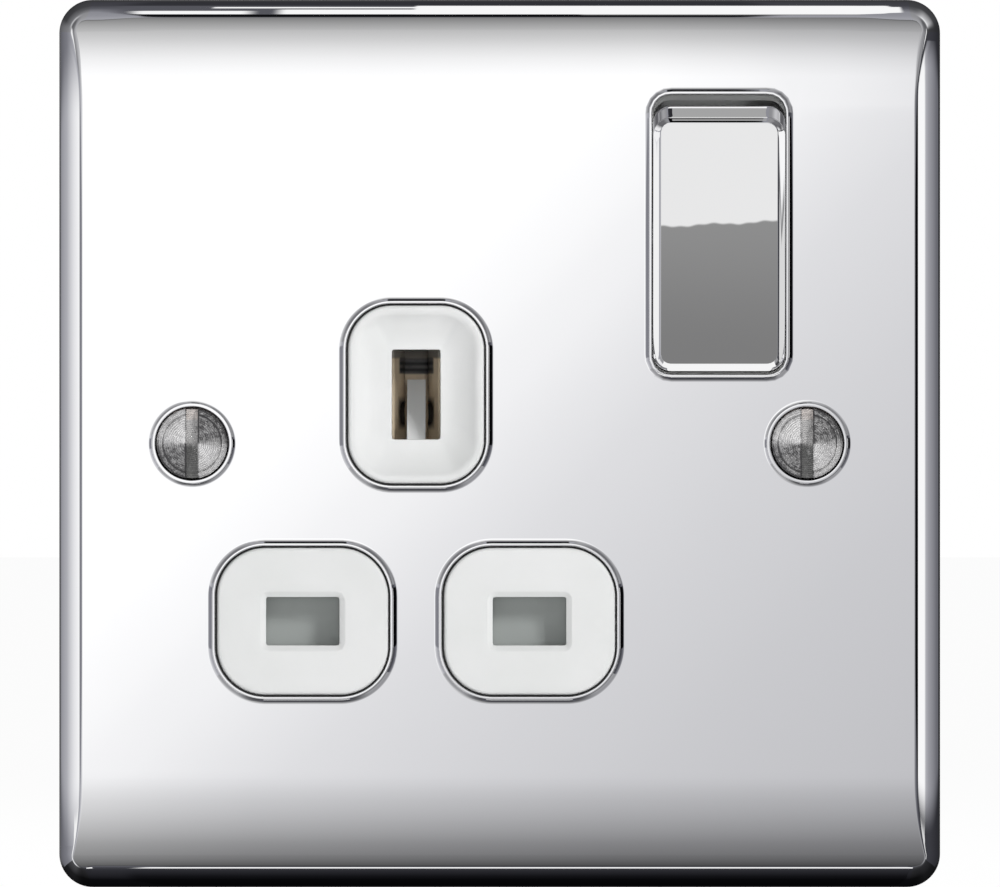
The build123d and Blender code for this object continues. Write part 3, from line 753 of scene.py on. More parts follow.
@dataclass(frozen=True)
class TurnedNickel(Finish):
    """Nickel-plated screw heads with turning rings, a painted two-lobed sheen, painted shade and a worn slot
    whose floor has painted light.
    """

    colour: Colour = (0.95, 0.94, 0.93)
    # Dark of the wear and of the painted shade on the head.
    worn: Colour = (0.1, 0.098, 0.1)
    # Slot floor: painted light in its upper half and at its upper end, darker lower half as dirt with painted
    # shade.
    slot_top: Colour = (0.8, 0.74, 0.7)
    slot_upper: Colour = (0.66, 0.65, 0.64)
    slot_lower: Colour = (0.2, 0.2, 0.195)
    centre_x: float = SCREW_X * MM
    roughness: float = 0.15
    wear_dulls: float = 0.25
    metallic: float = 0.6
    mark_mm: float = 0.02
    blotch_waves: float = 2600.0
    blotch_span: Span = (0.36, 0.66)
    # Painted sheen: a two-lobed highlight in the colour, with painted shade outside its lobes.
    painted_sheen_span: Span = (-0.02, 0.55)
    wobble_waves: float = 1500.0
    wobble: float = 0.3 * MM
    ring_rate: float = 31000.0
    # Painted shade lines at the turned step, at the head's rim and along both edges of the slot.
    groove_rise: Span = (2.76 * MM, 2.84 * MM)
    groove_fall: Span = (2.88 * MM, 2.96 * MM)
    rim_rise: Span = (3.2 * MM, 3.3 * MM)
    lip_rise: Span = (0.5 * MM, 0.56 * MM)
    lip_fall: Span = (0.64 * MM, 0.74 * MM)
    slot_middle: Span = (-0.2 * MM, 0.6 * MM)
    slot_end: Span = (2.2 * MM, 2.5 * MM)
    slot_depth: Span = (-7.25 * MM, -6.85 * MM)
    slot_dirt: Span = (0.52, 0.62)
    blotch_share: float = 0.55
    painted_shade_share: float = 0.76
    ring_share: float = 0.2
    groove_share: float = 0.6
    rim_share: float = 0.3
    lip_share: float = 0.5
    wear_from: float = 0.34
    least_square: float = 1e-12

    def sockets(self, graph: Graph) -> Sockets:
        """Rings follow the distance from either screw's axis, and the painted sheen twice its angle;
        outside its lobes the head is darkened as painted shade.

        Dark lines of painted shade follow a turned groove, the rim and both edges of the slot, whose
        floor is painted lighter in its upper half and lightest at its upper end as painted light, and
        darker below as dirt with painted shade.

        Args:
            graph: The shader.

        Returns:
            Values and links by socket.
        """
        place = graph.place()
        x, y, z = graph.split(place)
        offset = x - graph.math("SIGN", x) * self.centre_x
        square = offset * offset + z * z + self.least_square
        radius = graph.math("SQRT", square)
        blotch = graph.noise(place, self.blotch_waves, 5.0, 0.8)
        # Painted sheen: bright in two opposite sectors of the head, by twice the angle round the axis.
        painted_sheen = graph.remap(blotch * 0.5 - offset * z / square, *self.painted_sheen_span)
        wobble = graph.noise(place, self.wobble_waves, 2.0) * self.wobble
        rings = graph.math("SINE", (radius + wobble) * self.ring_rate) * 0.5 + 0.5
        groove = graph.band(radius, self.groove_rise, self.groove_fall)
        rim = graph.remap(radius, *self.rim_rise)
        across = graph.math("ABSOLUTE", offset)
        lip = graph.band(across, self.lip_rise, self.lip_fall)
        # Blotches and turning rings are tone; the dark outside the sheen, the groove, the rim and the slot's
        # edges are painted shade.
        stain_and_shade = graph.remap(blotch, *self.blotch_span) * self.blotch_share + (1.0 - painted_sheen) * self.painted_shade_share
        stain_and_shade = stain_and_shade + rings * self.ring_share + groove * self.groove_share + rim * self.rim_share
        wear_and_shade = graph.clamp(stain_and_shade + lip * self.lip_share - self.wear_from)
        metal = graph.mix(wear_and_shade, opaque(self.colour), opaque(self.worn))
        # Painted light on the slot floor: lighter upper half, lightest at the upper end.
        upper = graph.remap(z + wobble * 2.0, *self.slot_middle)
        slot = graph.mix(upper, opaque(self.slot_lower), opaque(self.slot_upper))
        slot = graph.mix(graph.remap(z, *self.slot_end), slot, opaque(self.slot_top))
        deep = graph.remap(y, *self.slot_depth) * (1.0 - graph.remap(blotch, *self.slot_dirt) * 0.5)
        return {
            "Base Color": graph.mix(deep, metal, slot),
            "Metallic": self.metallic,
            "Roughness": self.roughness + wear_and_shade * self.wear_dulls,
            "Normal": graph.bump(rings * 0.6 + blotch, self.mark_mm),
        }


@dataclass(frozen=True)
class ShutterPlastic(MouldedPlastic):
    """The shutter's plastic, with painted shade on its wings and none on the ramp."""

    painted_wing_shade: Colour = (0.33, 0.35, 0.34)
    painted_shade_height: Span = (-12.0 * MM, -6.0 * MM)

    def sockets(self, graph: Graph) -> Sockets:
        """The painted shade thins out with height, from the wings up to the ramp.

        Args:
            graph: The shader.

        Returns:
            Values and links by socket.
        """
        made = super().sockets(graph)
        height = graph.split(graph.place())[2]
        unshaded = graph.remap(height, *self.painted_shade_height)
        # Painted shade: the deep wings are darkened, the ramp near the front stays white.
        made["Base Color"] = graph.mix(unshaded, opaque(self.painted_wing_shade), made["Base Color"])
        return made


CHROME = MirrorChrome("mirror_chrome")
ROCKER_CHROME = MirrorChrome("rocker_chrome", roughness=0.01, haze=0.01)
WHITE = MouldedPlastic("moulded_white")
SHUTTER_WHITE = ShutterPlastic("moulded_shutter", roughness=0.35)
BRONZE = SheetMetal("bronze_strip", metallic=0.1)
CLIP_BRONZE = ClipBronze("bronze_clip")
BRASS = SheetMetal("brass_block", (0.78, 0.6, 0.3), (0.5, 0.36, 0.17), 0.26)
ZINC = SheetMetal("zinc_plating", (0.68, 0.68, 0.66), (0.42, 0.41, 0.38), 0.3)
SPRING = SheetMetal("spring_wire", (0.55, 0.55, 0.57), (0.3, 0.3, 0.31), 0.28)
SILVER = SheetMetal("silver_tip", (0.85, 0.84, 0.81), (0.5, 0.48, 0.44), 0.3)
NICKEL = TurnedNickel("worn_nickel")


def coat(thing: Object, finish: Finish) -> None:
    """Gives an object one finish in place of what it had."""
    thing.data.materials.clear()
    thing.data.materials.append(finish.material())


def settle(piece: Object, body: Body, slot: Slot, finish: Finish, *nodes: str) -> None:
    """Gives a new piece its finish and its body, and hides the nodes that it stands for.

    Args:
        piece: The new piece.
        body: The body that it rides on.
        slot: Not used.
        finish: Its finish.
        nodes: The nodes that it replaces.
    """
    coat(piece, finish)
    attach(piece, body.value)
    if nodes:
        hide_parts(*nodes)
    LOG.info("%s: %d faces on %s", piece.name, len(piece.data.polygons), body.value)


NODES_IN: dict[Finish, tuple[str, ...]] = {
    CHROME: ("front_plate",),
    WHITE: ("front_moulding", "rear_moulding", "rocker_carrier"),
    NICKEL: ("fixing_screws",),
    ZINC: ("moulding_screws", "terminal_screws"),
    CLIP_BRONZE: ("earth_contact",),
    BRONZE: ("neutral_contact", "line_contact", "moving_contact"),
    BRASS: ("line_feed", "earth_terminal", "neutral_terminal", "line_terminal", "earth_strap"),
    SHUTTER_WHITE: ("shutter", "plunger"),
    SPRING: ("shutter_spring", "plunger_spring"),
    ROCKER_CHROME: ("rocker_cap",),
    SILVER: ("moving_contact_tip", "fixed_contact_tip"),
}


def dress(frame: Any) -> None:
    """Gives every node of the frame its finish.

    Args:
        frame: The loaded frame.
    """
    finishes = {name: finish for finish, names in NODES_IN.items() for name in names}
    for name, node in frame["nodes"].items():
        finish = finishes[name]
        coat(node, finish)
        LOG.info("%s: dressed in %s", name, finish.name)


@dataclass(frozen=True)
class Collar:
    """The drawn-up rim round a window: inner wall, round lip, upright flank and a flared root."""

    height: float = 0.75
    inner_round: float = 0.06
    flat: float = 0.15
    outer_round: float = 0.09
    flare: float = 0.42
    flare_degrees: float = 26.0
    seat: float = 0.0
    seat_share: float = 0.9
    wall_top: float = 0.2
    steps: int = 6
    guard: float = 0.03

    def profile(self, depth: float) -> Array:
        """The rim's section as distance out from the window and height above the face.

        The root is a parabola, level at its foot and as steep as flare_degrees at the flank. A
        seat draws the inner wall in towards its foot, as for a countersunk head.

        Args:
            depth: How far the inner wall goes down behind the face.

        Returns:
            Points from the inner wall's foot over the lip to just past the root.
        """
        flank = self.inner_round + self.flat + self.outer_round
        inner = arc((self.inner_round, self.height - self.inner_round), self.inner_round, 180, 90, self.steps)
        shoulder = (self.inner_round + self.flat, self.height - self.outer_round)
        outer = arc(shoulder, self.outer_round, 90, 0, self.steps)
        way = np.linspace(1.0, 0.0, 2 * self.steps + 1)
        rise = math.tan(math.radians(self.flare_degrees)) * self.flare / 2
        root = columns(flank + self.flare * (1.0 - way), rise * way**2)
        wall = np.array([[-self.seat, -depth], [-self.seat, -self.seat_share * depth], [0.0, self.wall_top]])
        foot = np.array([[flank + self.flare + self.guard, 0.0]])
        return np.concatenate([wall, inner, outer, root, foot])


@dataclass
class FrontPlate:
    """The pressed plate: a tray with a soft pillow, rolled edges and collared windows."""

    width: float = 86.5
    height: float = 87.2
    corner: float = 3.3
    rise: float = 6.5
    sheet: float = 1.0
    side_roll: float = 4.0
    side_lift: float = 0.44
    right_lift: float = 0.34
    end_roll: float = 5.0
    end_lift: float = 0.38
    lower_lift: float = 0.19
    pillow_start: float = 32.0
    pillow_end: float = 41.95
    pillow_drop: float = 0.906
    strip_y: float = 36.0
    crease_soft: float = 0.09
    crease_reach: float = 0.34
    corner_soft: float = 0.16
    corner_reach: float = 0.4
    corner_run: float = 5.0
    rim_round: float = 0.15
    rim_section: tuple[Span, ...] = ((1.0, 0.0), (0.3, 0.3), (0.0, 1.0))
    wall_shares: tuple[float, ...] = (0.35, 0.7, 1.0)
    roll_rows: int = 16
    crease_rows: int = 13
    crease_start: float = -0.85
    halvings: int = 40
    bend_steps: int = 8
    side_steps: int = 6
    step: float = 0.75
    face_half: float = 40.6
    rocker_cell: Triple = (13.3, 29.7, 5.1)
    collar: Collar = Collar()
    screw_window: float = 3.62
    blend_shares: tuple[float, ...] = (0.03, 0.12, 0.3, 0.6, 1.0)
    screw_collar: Collar = Collar(flat=0.22, flare=0.3, flare_degrees=20.0, seat=1.1)
    edge_lines: dict[float, tuple[Array, Array]] = field(default_factory=dict)
    surface: Surface = field(default_factory=Surface)

    def windows(self) -> dict[str, Opening]:
        """The plate's windows, the screw holes among them.

        Returns:
            The windows by name.
        """
        hole = 2 * self.screw_window
        return {
            "earth": Opening(PLUG_X, EARTH_Y, 13.75, 17.85, 4.5),
            "neutral": Opening(-19.315, -17.43, 17.2, 14.8, 4.95),
            "line": Opening(2.915, -17.43, 17.2, 14.8, 4.95),
            "rocker": Opening(ROCKER_X, ROCKER_Y, 13.15, 27.5, 1.8),
            "left_screw": Opening(-SCREW_X, 0.0, hole, hole, self.screw_window),
            "right_screw": Opening(SCREW_X, 0.0, hole, hole, self.screw_window),
        }

    def pillow(self, y: Array) -> Array:
        """Height of the face: level in the middle, then falling by the cube of the distance."""
        share = np.maximum(np.abs(y) - self.pillow_start, 0.0) / (self.pillow_end - self.pillow_start)
        return self.rise - self.pillow_drop * share**3

    def on_face(self, spots: Array, lift: float) -> Array:
        """Gives points of the plan the face's height and a lift above it."""
        return np.concatenate([spots, self.pillow(spots[..., 1:]) + lift], axis=-1)

    def outline(self, panel: Panel) -> dict[str, Array]:
        """The plan's outline, point by point, counter-clockwise from the lower right.

        Args:
            panel: The face's panel, whose lines set the spacing along the sides and ends.

        Returns:
            Arrays "spot", "inward" and "share", the last running from 0 at a side to 1 at an end,
            and the numbers of points in a side, a corner's side part and an end.
        """
        half_w, half_h, r = self.width / 2, self.height / 2, self.corner
        ys = panel.y_lines[np.abs(panel.y_lines) <= self.strip_y + SLACK]
        xs = panel.x_lines
        bend = self.bend_steps
        rest = len(xs) - 2 * bend
        side_y = np.linspace(self.strip_y, half_h - r, self.side_steps)[1:]
        turn = np.radians(np.linspace(0, 180, 4 * bend + 1))
        flat_x = np.linspace(half_w - r, r - half_w, rest)[1:-1]

        def side(sign: float, y: Array) -> tuple[Array, Array, Array]:
            """Points along the right side, or along the left one for a sign of -1."""
            spot = columns(np.full_like(y, sign * half_w), y)
            return spot, np.tile([-sign, 0.0], (len(y), 1)), np.zeros_like(y)

        def bow(turns: Array, sign: float) -> tuple[Array, Array, Array]:
            """Points round an upper corner.

            Args:
                turns: Their directions from the corner's centre.
                sign: 1 for the right corner, -1 for the left one.

            Returns:
                Places, inward directions and shares.
            """
            ray = columns(np.cos(turns), np.sin(turns))
            core = np.array([sign * (half_w - r), half_h - r])
            quarter = np.abs(np.sin(turns))
            return core + r * ray, -ray, smoothstep(np.arcsin(quarter) / (math.pi / 2))

        lid = columns(flat_x, np.full_like(flat_x, half_h))
        top = [
            side(1.0, side_y),
            bow(turn[1 : 2 * bend + 1], 1.0),
            (lid, np.tile([0.0, -1.0], (len(flat_x), 1)), np.ones_like(flat_x)),
            bow(turn[2 * bend : 4 * bend], -1.0),
            side(-1.0, side_y[::-1]),
        ]
        upper = [np.concatenate(part) for part in zip(*top)]
        right = side(1.0, ys)
        left = side(-1.0, ys[::-1])
        lower = (-upper[0], -upper[1], upper[2])
        spot, inward, share = (np.concatenate(part) for part in zip(right, upper, left, lower))
        counts = np.array([len(ys), len(side_y) + bend, len(upper[0]) - 2 * (len(side_y) + bend)])
        return {"spot": spot, "inward": inward, "share": share, "counts": counts}

    def band(self, plan: dict[str, Array], inset: float) -> tuple[Array, Array]:
        """The rolled edge, from the rim on the wall to just inside the crease.

        The roll is a quarter circle whose radius and lift go from the side's to the end's round
        each corner. It meets the pillow at the crease, found by halving, and there the lower of
        the two heights is taken and rounded.

        Args:
            plan: The outline.
            inset: Depth below the outer skin, 0 for the outside and the sheet for the inside.

        Returns:
            The band as rows by points by 3, and its last row in plan.
        """
        share = plan["share"]
        radius = self.side_roll + (self.end_roll - self.side_roll) * share
        side = np.where(plan["spot"][:, 0] > 0, self.right_lift, self.side_lift)
        end = np.where(plan["spot"][:, 1] > 0, self.end_lift, self.lower_lift)
        lift = side + (end - side) * share
        level = self.rise + lift - radius
        core = np.array([self.width / 2, self.height / 2]) - self.corner - self.corner_run
        near = smoothstep((np.abs(plan["spot"]) - core) / self.corner_run).prod(axis=1)
        near = np.where(plan["spot"][:, 1] > 0, near, 0.0)
        soft = self.crease_soft + self.corner_soft * near
        reach = self.crease_reach + self.corner_reach * near

        def at(distance: Array) -> Array:
            """Points at a distance in from the outline."""
            return plan["spot"] + plan["inward"] * distance[:, None]

        def roll(distance: Array) -> Array:
            """Height of the rolled edge."""
            return level + np.sqrt(np.maximum((radius - inset) ** 2 - (radius - distance) ** 2, 0.0))

        def face(distance: Array) -> Array:
            """Height of the pillow."""
            return self.pillow(at(distance)[:, 1]) - inset

        low, high = np.full_like(share, inset), np.full_like(share, self.corner)
        for _ in range(self.halvings):
            middle = (low + high) / 2
            under = roll(middle) < face(middle)
            low, high = np.where(under, middle, low), np.where(under, high, middle)
        crease = (low + high) / 2
        round_in = -self.rim_round if inset else self.rim_round
        walls = []
        for out, up in self.rim_section:
            depth, height = inset + round_in * out, self.rim_round * up
            walls.append((np.full_like(share, depth), np.full_like(share, height)))
        walls += [(np.full_like(share, inset), level * part) for part in self.wall_shares]
        inner = radius - inset
        last = np.arccos(np.clip((radius - crease + reach) / inner, -1.0, 1.0))
        for part in np.linspace(0.0, 1.0, self.roll_rows)[1:]:
            distance = radius - inner * np.cos(part * last)
            walls.append((distance, roll(distance)))
        for part in np.linspace(self.crease_start, 1.0, self.crease_rows):
            distance = crease + part * reach
            walls.append((distance, soft_min(roll(distance), face(distance), soft)))
        grid = [np.concatenate([at(d), z[:, None]], axis=1) for d, z in walls]
        return np.stack(grid), grid[-1][:, :2]

    def strip(self, edge: Array, base: Array, counts: Array, inset: float) -> Array:
        """The end of the pillow between the middle of the face and the crease.

        Its four sides are the face's border and three stretches of the crease. Points in between
        are blended from the four sides, and take the pillow's height.

        Args:
            edge: The crease from one end of the face's border to the other.
            base: The face's border, in the same direction.
            counts: Numbers of points in the outline's parts.
            inset: Depth below the outer skin.

        Returns:
            The strip as rows by points by 3.
        """
        part = int(counts[1]) + 1
        near, far = edge[:part], edge[len(edge) - part :][::-1]
        lid = edge[part - 1 : len(edge) - part + 1]
        u = np.linspace(0, 1, len(base))[None, :, None]
        v = np.linspace(0, 1, part)[:, None, None]
        ruled = (1 - v) * base[None] + v * lid[None] + (1 - u) * near[:, None] + u * far[:, None]
        corners = (1 - v) * ((1 - u) * base[0] + u * base[-1]) + v * ((1 - u) * lid[0] + u * lid[-1])
        return self.on_face(ruled - corners, -inset)

    def build(self) -> Object:
        """Makes the plate, inside and outside, as one closed mesh.

        Returns:
            The new piece.
        """
        w = self.windows()
        half, y, level = self.face_half, self.strip_y, self.pillow_start
        near, far, foot = self.rocker_cell
        panel = Panel(
            [
                Cell(-half, half, -y, -level),
                Cell(-half, PLUG_X, -level, SEAM_LOW, w["neutral"]),
                Cell(PLUG_X, half, -level, SEAM_LOW, w["line"]),
                Cell(-half, SEAM_LEFT, SEAM_LOW, level, w["left_screw"]),
                Cell(SEAM_LEFT, SEAM_RIGHT, SEAM_LOW, level, w["earth"]),
                Cell(-half, near, level, y),
                Cell(SEAM_RIGHT, near, foot, level),
                Cell(far, half, foot, y),
                Cell(SEAM_RIGHT, half, SEAM_LOW, foot, w["right_screw"]),
                Cell(near, far, foot, y, w["rocker"]),
            ],
            self.step,
        )
        plan = self.outline(panel)
        counts = plan["counts"]
        rims = []
        for inset in (0.0, self.sheet):
            band, line = self.band(plan, inset)
            rims.append(band[0])
            self.surface.grid(band.transpose(1, 0, 2))
            self.surface.grid(np.stack([band[:, -1], band[:, 0]]))
            self._faces(panel, line, counts, inset)
        self.surface.grid(np.stack(rims), closed=True)
        self._collars(panel)
        return self.surface.build("front_plate_pressing", sharp_degrees=40.0)

    def _faces(self, panel: Panel, line: Array, counts: Array, inset: float) -> None:
        """Adds the ends of the pillow on one skin, and keeps where its sides begin.

        Args:
            panel: The face's panel.
            line: The rolled edge's last row in plan.
            counts: Numbers of points in the outline's parts.
            inset: Depth below the outer skin.
        """
        sides = int(counts[0])
        end = 2 * int(counts[1]) + int(counts[2])
        upper = line[sides - 1 : sides + end + 1]
        lower_start = 2 * sides + end - 1
        lower = np.concatenate([line[lower_start:], line[:1]])
        xs = panel.x_lines
        for edge, along, y in ((upper, xs[::-1], self.strip_y), (lower, xs, -self.strip_y)):
            base = columns(along, np.full_like(xs, y))
            base[0], base[-1] = edge[0], edge[-1]
            self.surface.grid(self.strip(edge, base, counts, inset))
        start = lower_start - sides + 1
        self.edge_lines[inset] = (line[:sides], line[start : start + sides][::-1])

    def _held(self, panel: Panel, spots: Array, inset: float) -> Array:
        """Moves a cell's outermost points onto the line where one skin's rolled edge begins.

        Args:
            panel: The face's panel.
            spots: Points of the cell, in plan.
            inset: Depth below the outer skin.

        Returns:
            The points, with those at the face's sides moved.
        """
        right, left = self.edge_lines[inset]
        x, y = spots[..., 0], spots[..., 1]
        x = np.where(x > panel.x_lines[-1] - SLACK, np.interp(y, right[:, 1], right[:, 0]), x)
        x = np.where(x < panel.x_lines[0] + SLACK, np.interp(y, left[:, 1], left[:, 0]), x)
        return columns(x, y)

    def _collars(self, panel: Panel) -> None:
        """Adds each cell: in from the back's border, over the collar and out to the front's border.

        Args:
            panel: The face's panel.
        """
        for cell in panel.cells:
            window = cell.window
            if window is None:
                for inset in (self.sheet, 0.0):
                    spots = self._held(panel, panel.lattice(cell), inset)
                    self.surface.grid(self.on_face(spots, -inset))
                continue
            back, front = (self._held(panel, panel.border(cell), inset) for inset in (self.sheet, 0.0))
            angles = window.directions((back + front) / 2)
            collar = self.screw_collar if window.radius == self.screw_window else self.collar
            profile = collar.profile(self.sheet)
            edge, foot = window.rim(angles, profile[0, 0]), window.rim(angles, profile[-1, 0])
            rows = [self.on_face(edge + (back - edge) * s, -self.sheet) for s in self.blend_shares[::-1]]
            rows += [self.on_face(window.rim(angles, out), height) for out, height in profile]
            rows += [self.on_face(foot + (front - foot) * s, 0.0) for s in self.blend_shares]
            self.surface.grid(np.stack(rows), closed=True)


def level_row(spots: Array, height: float) -> Array:
    """Gives points of the plan one height."""
    return np.concatenate([spots, np.full((*spots.shape[:-1], 1), height)], axis=-1)


SLAB_POINTS = 64


def slab(surface: Surface, shape: Opening, low: float, high: float, edge: float) -> None:
    """Adds a closed block with softened edges.

    Args:
        surface: Where it is added.
        shape: Its plan.
        low: Height of its underside.
        high: Height of its top.
        edge: Size of its softened edges.
    """
    angles = shape.even_angles(SLAB_POINTS)
    middle = np.tile([shape.x, shape.y], (SLAB_POINTS, 1))
    inner, outer = shape.rim(angles, -edge), shape.rim(angles)
    lower = [(middle, low), (inner, low), (outer, low + edge)]
    upper = [(outer, high - edge), (inner, high), (middle, high)]
    surface.grid(np.stack([level_row(spots, height) for spots, height in lower + upper]), closed=True)


RowMaker = Callable[[Opening, Opening, Array], list[Array]]


@dataclass
class InsertMoulding:
    """The white moulding behind the plate, with three bosses, the rocker's well and two posts."""

    half_width: float = 35.0
    half_height: float = 35.8
    back: float = 3.0
    web: float = 5.5
    top: float = 7.1
    gap: float = 0.2
    lip: float = 0.34
    lip_steps: int = 7
    # Painted crevice shade on the boss's last rows: the lip's lower end, the wall down the gap and the web.
    lip_shades: tuple[float, ...] = (0.7, 1.0, 1.0, 0.0)
    slot_corner: float = 0.2
    earth_slot: Span = (4.75, 8.8)
    earth_wall: Span = (4.2, 0.15)
    earth_mouth: tuple[Span, ...] = ((0.02, 0.05), (0.07, 0.0))
    earth_rim: tuple[Span, ...] = ((-0.8, 0.035), (-0.65, 0.01), (-0.5, 0.0))
    dish_edge: float = 1.0
    dish_depth: float = 1.5
    dish_lip: float = 0.1
    dish_power: float = 2.4
    dish_start: float = 0.06
    dish_rows: int = 16
    pin_slot: Span = (7.2, 4.75)
    pin_wall: Span = (4.5, 0.08)
    bevel: float = 0.58
    bevel_foot: tuple[Span, ...] = ((0.03, 0.02), (0.09, -0.02))
    bevel_head: tuple[Span, ...] = ((-0.12, 0.12), (-0.03, 0.06))
    bevel_depth: float = 0.4
    brow: float = 0.06
    brow_drop: float = 0.05
    brow_shares: tuple[float, ...] = (0.2, 0.5, 0.8, 1.0)
    notch_x: float = 26.85
    notch_y: float = 3.3
    well: Opening = Opening(ROCKER_X, ROCKER_Y, 13.2, 27.8, 1.9)
    throat: Opening = Opening(ROCKER_X, ROCKER_Y, 13.2, 19.0, 0.3)
    frame: Opening = Opening(ROCKER_X, ROCKER_Y, 16.4, 30.5, 0.3)
    frame_foot: float = 0.5
    well_floor: float = 2.8
    strap: Opening = Opening(PLUG_X, 28.85, 5.4, 1.5, 0.2)
    strap_seam: float = 22.0
    post_spots: tuple[Span, ...] = ((-28.4, 23.5), (26.4, -22.5))
    post_side: float = 5.0
    post_corner: float = 0.4
    post_edge: float = 0.3
    post_foot: float = -4.0
    post_sunk: float = 0.5
    step: float = 0.8
    surface: Surface = field(default_factory=Surface)

    def build(self, windows: dict[str, Opening]) -> Object:
        """Makes the moulding to fit the plate's windows.

        Args:
            windows: The plate's windows by name.

        Returns:
            The new piece.
        """
        earth = windows["earth"]
        pins = [windows["neutral"], windows["line"]]
        earth_slot = Opening(earth.x, earth.y, *self.earth_slot, self.slot_corner)
        pin_slots = [Opening(w.x, w.y, *self.pin_slot, self.slot_corner) for w in pins]
        half, tall, seam = self.half_width, self.half_height, self.strap_seam
        nx, ny = self.notch_x, self.notch_y
        cells = [
            Cell(-half, PLUG_X, -tall, SEAM_LOW, pins[0], (pin_slots[0],)),
            Cell(PLUG_X, half, -tall, SEAM_LOW, pins[1], (pin_slots[1],)),
            Cell(SEAM_LEFT, SEAM_RIGHT, SEAM_LOW, seam, earth, (earth_slot,)),
            Cell(SEAM_LEFT, SEAM_RIGHT, seam, tall, self.strap, (self.strap,)),
            Cell(SEAM_RIGHT, half, ny, tall, self.well, (self.throat, self.frame)),
            Cell(-half, SEAM_LEFT, SEAM_LOW, -ny),
            Cell(-nx, SEAM_LEFT, -ny, ny),
            Cell(-half, SEAM_LEFT, ny, tall),
            Cell(SEAM_RIGHT, half, SEAM_LOW, -ny),
            Cell(SEAM_RIGHT, nx, -ny, ny),
        ]
        panel = Panel(cells, self.step)
        for cell, slot in zip(cells, pin_slots):
            self._boss(panel, cell, slot, self._pin_rows)
        self._boss(panel, cells[2], earth_slot, self._earth_rows)
        self._hole(panel, cells[3], [(self.strap, self.back), (self.strap, self.web)])
        steps = [(self.frame, self.back), (self.frame, self.frame_foot), (self.throat, self.frame_foot)]
        steps += [(self.throat, self.well_floor), (self.well, self.well_floor), (self.well, self.web)]
        self._hole(panel, cells[4], steps)
        for cell in cells[5:]:
            for height in (self.back, self.web):
                self.surface.grid(level_row(panel.lattice(cell), height))
        self._walls(panel)
        self._posts()
        return self.surface.build("front_moulding_inserts", sharp_degrees=38.0)

    def _earth_rows(self, slot: Opening, window: Opening, angles: Array) -> list[Array]:
        """Rows from the slot's foot up and out over the earth boss's dish.

        The dish blends the slot's mouth into the boss's outline. It lies lowest at the slot, and
        its depth falls off by a power of the way out.

        Args:
            slot: The pin's slot.
            window: The plate's window.
            angles: Directions from the slot's centre.

        Returns:
            The rows, from the inside out.
        """
        mouth, edge = slot.rim(angles), window.rim(angles, -self.dish_edge)
        low = self.top - self.dish_depth
        made = [level_row(mouth, z) for z in (self.back, self.earth_wall[0], low - self.earth_wall[1])]
        made += [level_row(slot.rim(angles, out), low - drop) for out, drop in self.earth_mouth]
        for share in np.linspace(self.dish_start, 1.0, self.dish_rows):
            fall = (self.dish_depth - self.dish_lip) * (1.0 - share**self.dish_power)
            made.append(level_row(mouth + (edge - mouth) * share, self.top - self.dish_lip - fall))
        made += [level_row(window.rim(angles, out), self.top - drop) for out, drop in self.earth_rim]
        return made

    def _pin_rows(self, slot: Opening, window: Opening, angles: Array) -> list[Array]:
        """Rows from the slot's foot up its wall, over its bevel and out over a pin boss.

        Args:
            slot: The pin's slot.
            window: The plate's window.
            angles: Directions from the slot's centre.

        Returns:
            The rows, from the inside out.
        """
        wide, deep = self.bevel, self.bevel_depth
        low = self.top - deep
        made = [level_row(slot.rim(angles), z) for z in (self.back, self.pin_wall[0], low - self.pin_wall[1])]
        head = (*self.bevel_head, (self.brow, self.brow_drop))
        section = [*self.bevel_foot, *((wide + out, drop - deep) for out, drop in head)]
        made += [level_row(slot.rim(angles, out), low - drop) for out, drop in section]
        mouth, edge = slot.rim(angles, wide + self.brow), window.rim(angles, -self.dish_edge)
        for share in self.brow_shares:
            height = self.top - self.brow_drop * (1.0 - share) ** 0.5
            made.append(level_row(mouth + (edge - mouth) * share, height))
        return made

    def _boss(self, panel: Panel, cell: Cell, slot: Opening, rows: RowMaker) -> None:
        """Adds a boss: the web's back, the slot and top, the round lip, the wall and the web's front.

        Args:
            panel: The web's panel.
            cell: The boss's cell, which has the plate's window.
            slot: The pin's slot.
            rows: What makes the slot and top.
        """
        border = panel.border(cell)
        window = cell.window
        angles = window.directions(border)
        top = rows(slot, window, angles)
        mouth = top[0][:, :2]
        made = [level_row(mouth + (border - mouth) * share, self.back) for share in (1.0, 0.5)]
        made += top
        lip = arc((-self.gap - self.lip, self.top - self.lip), self.lip, 90, 0, self.lip_steps)
        section = np.concatenate([lip, [[-self.gap, self.web]]])
        made += [level_row(window.rim(angles, out), height) for out, height in section]
        foot = made[-1][:, :2]
        made += [level_row(foot + (border - foot) * share, self.web) for share in (0.5, 1.0)]
        # The gap between the boss and the plate's collar gets painted crevice shade.
        shade = np.zeros(len(made))
        shade[-len(self.lip_shades) :] = self.lip_shades
        self.surface.grid(np.stack(made), closed=True, shade=shade)

    def _hole(self, panel: Panel, cell: Cell, steps: list[tuple[Opening, float]]) -> None:
        """Adds an opening through a cell, from the back's border over given outlines to the front's.

        Args:
            panel: The web's panel.
            cell: The opening's cell.
            steps: Outlines and their heights, from the back.
        """
        border = panel.border(cell)
        angles = steps[0][0].directions(border)
        made = [level_row(border, self.back)]
        made += [level_row(shape.rim(angles), height) for shape, height in steps]
        made.append(level_row(border, self.web))
        self.surface.grid(np.stack(made), closed=True)

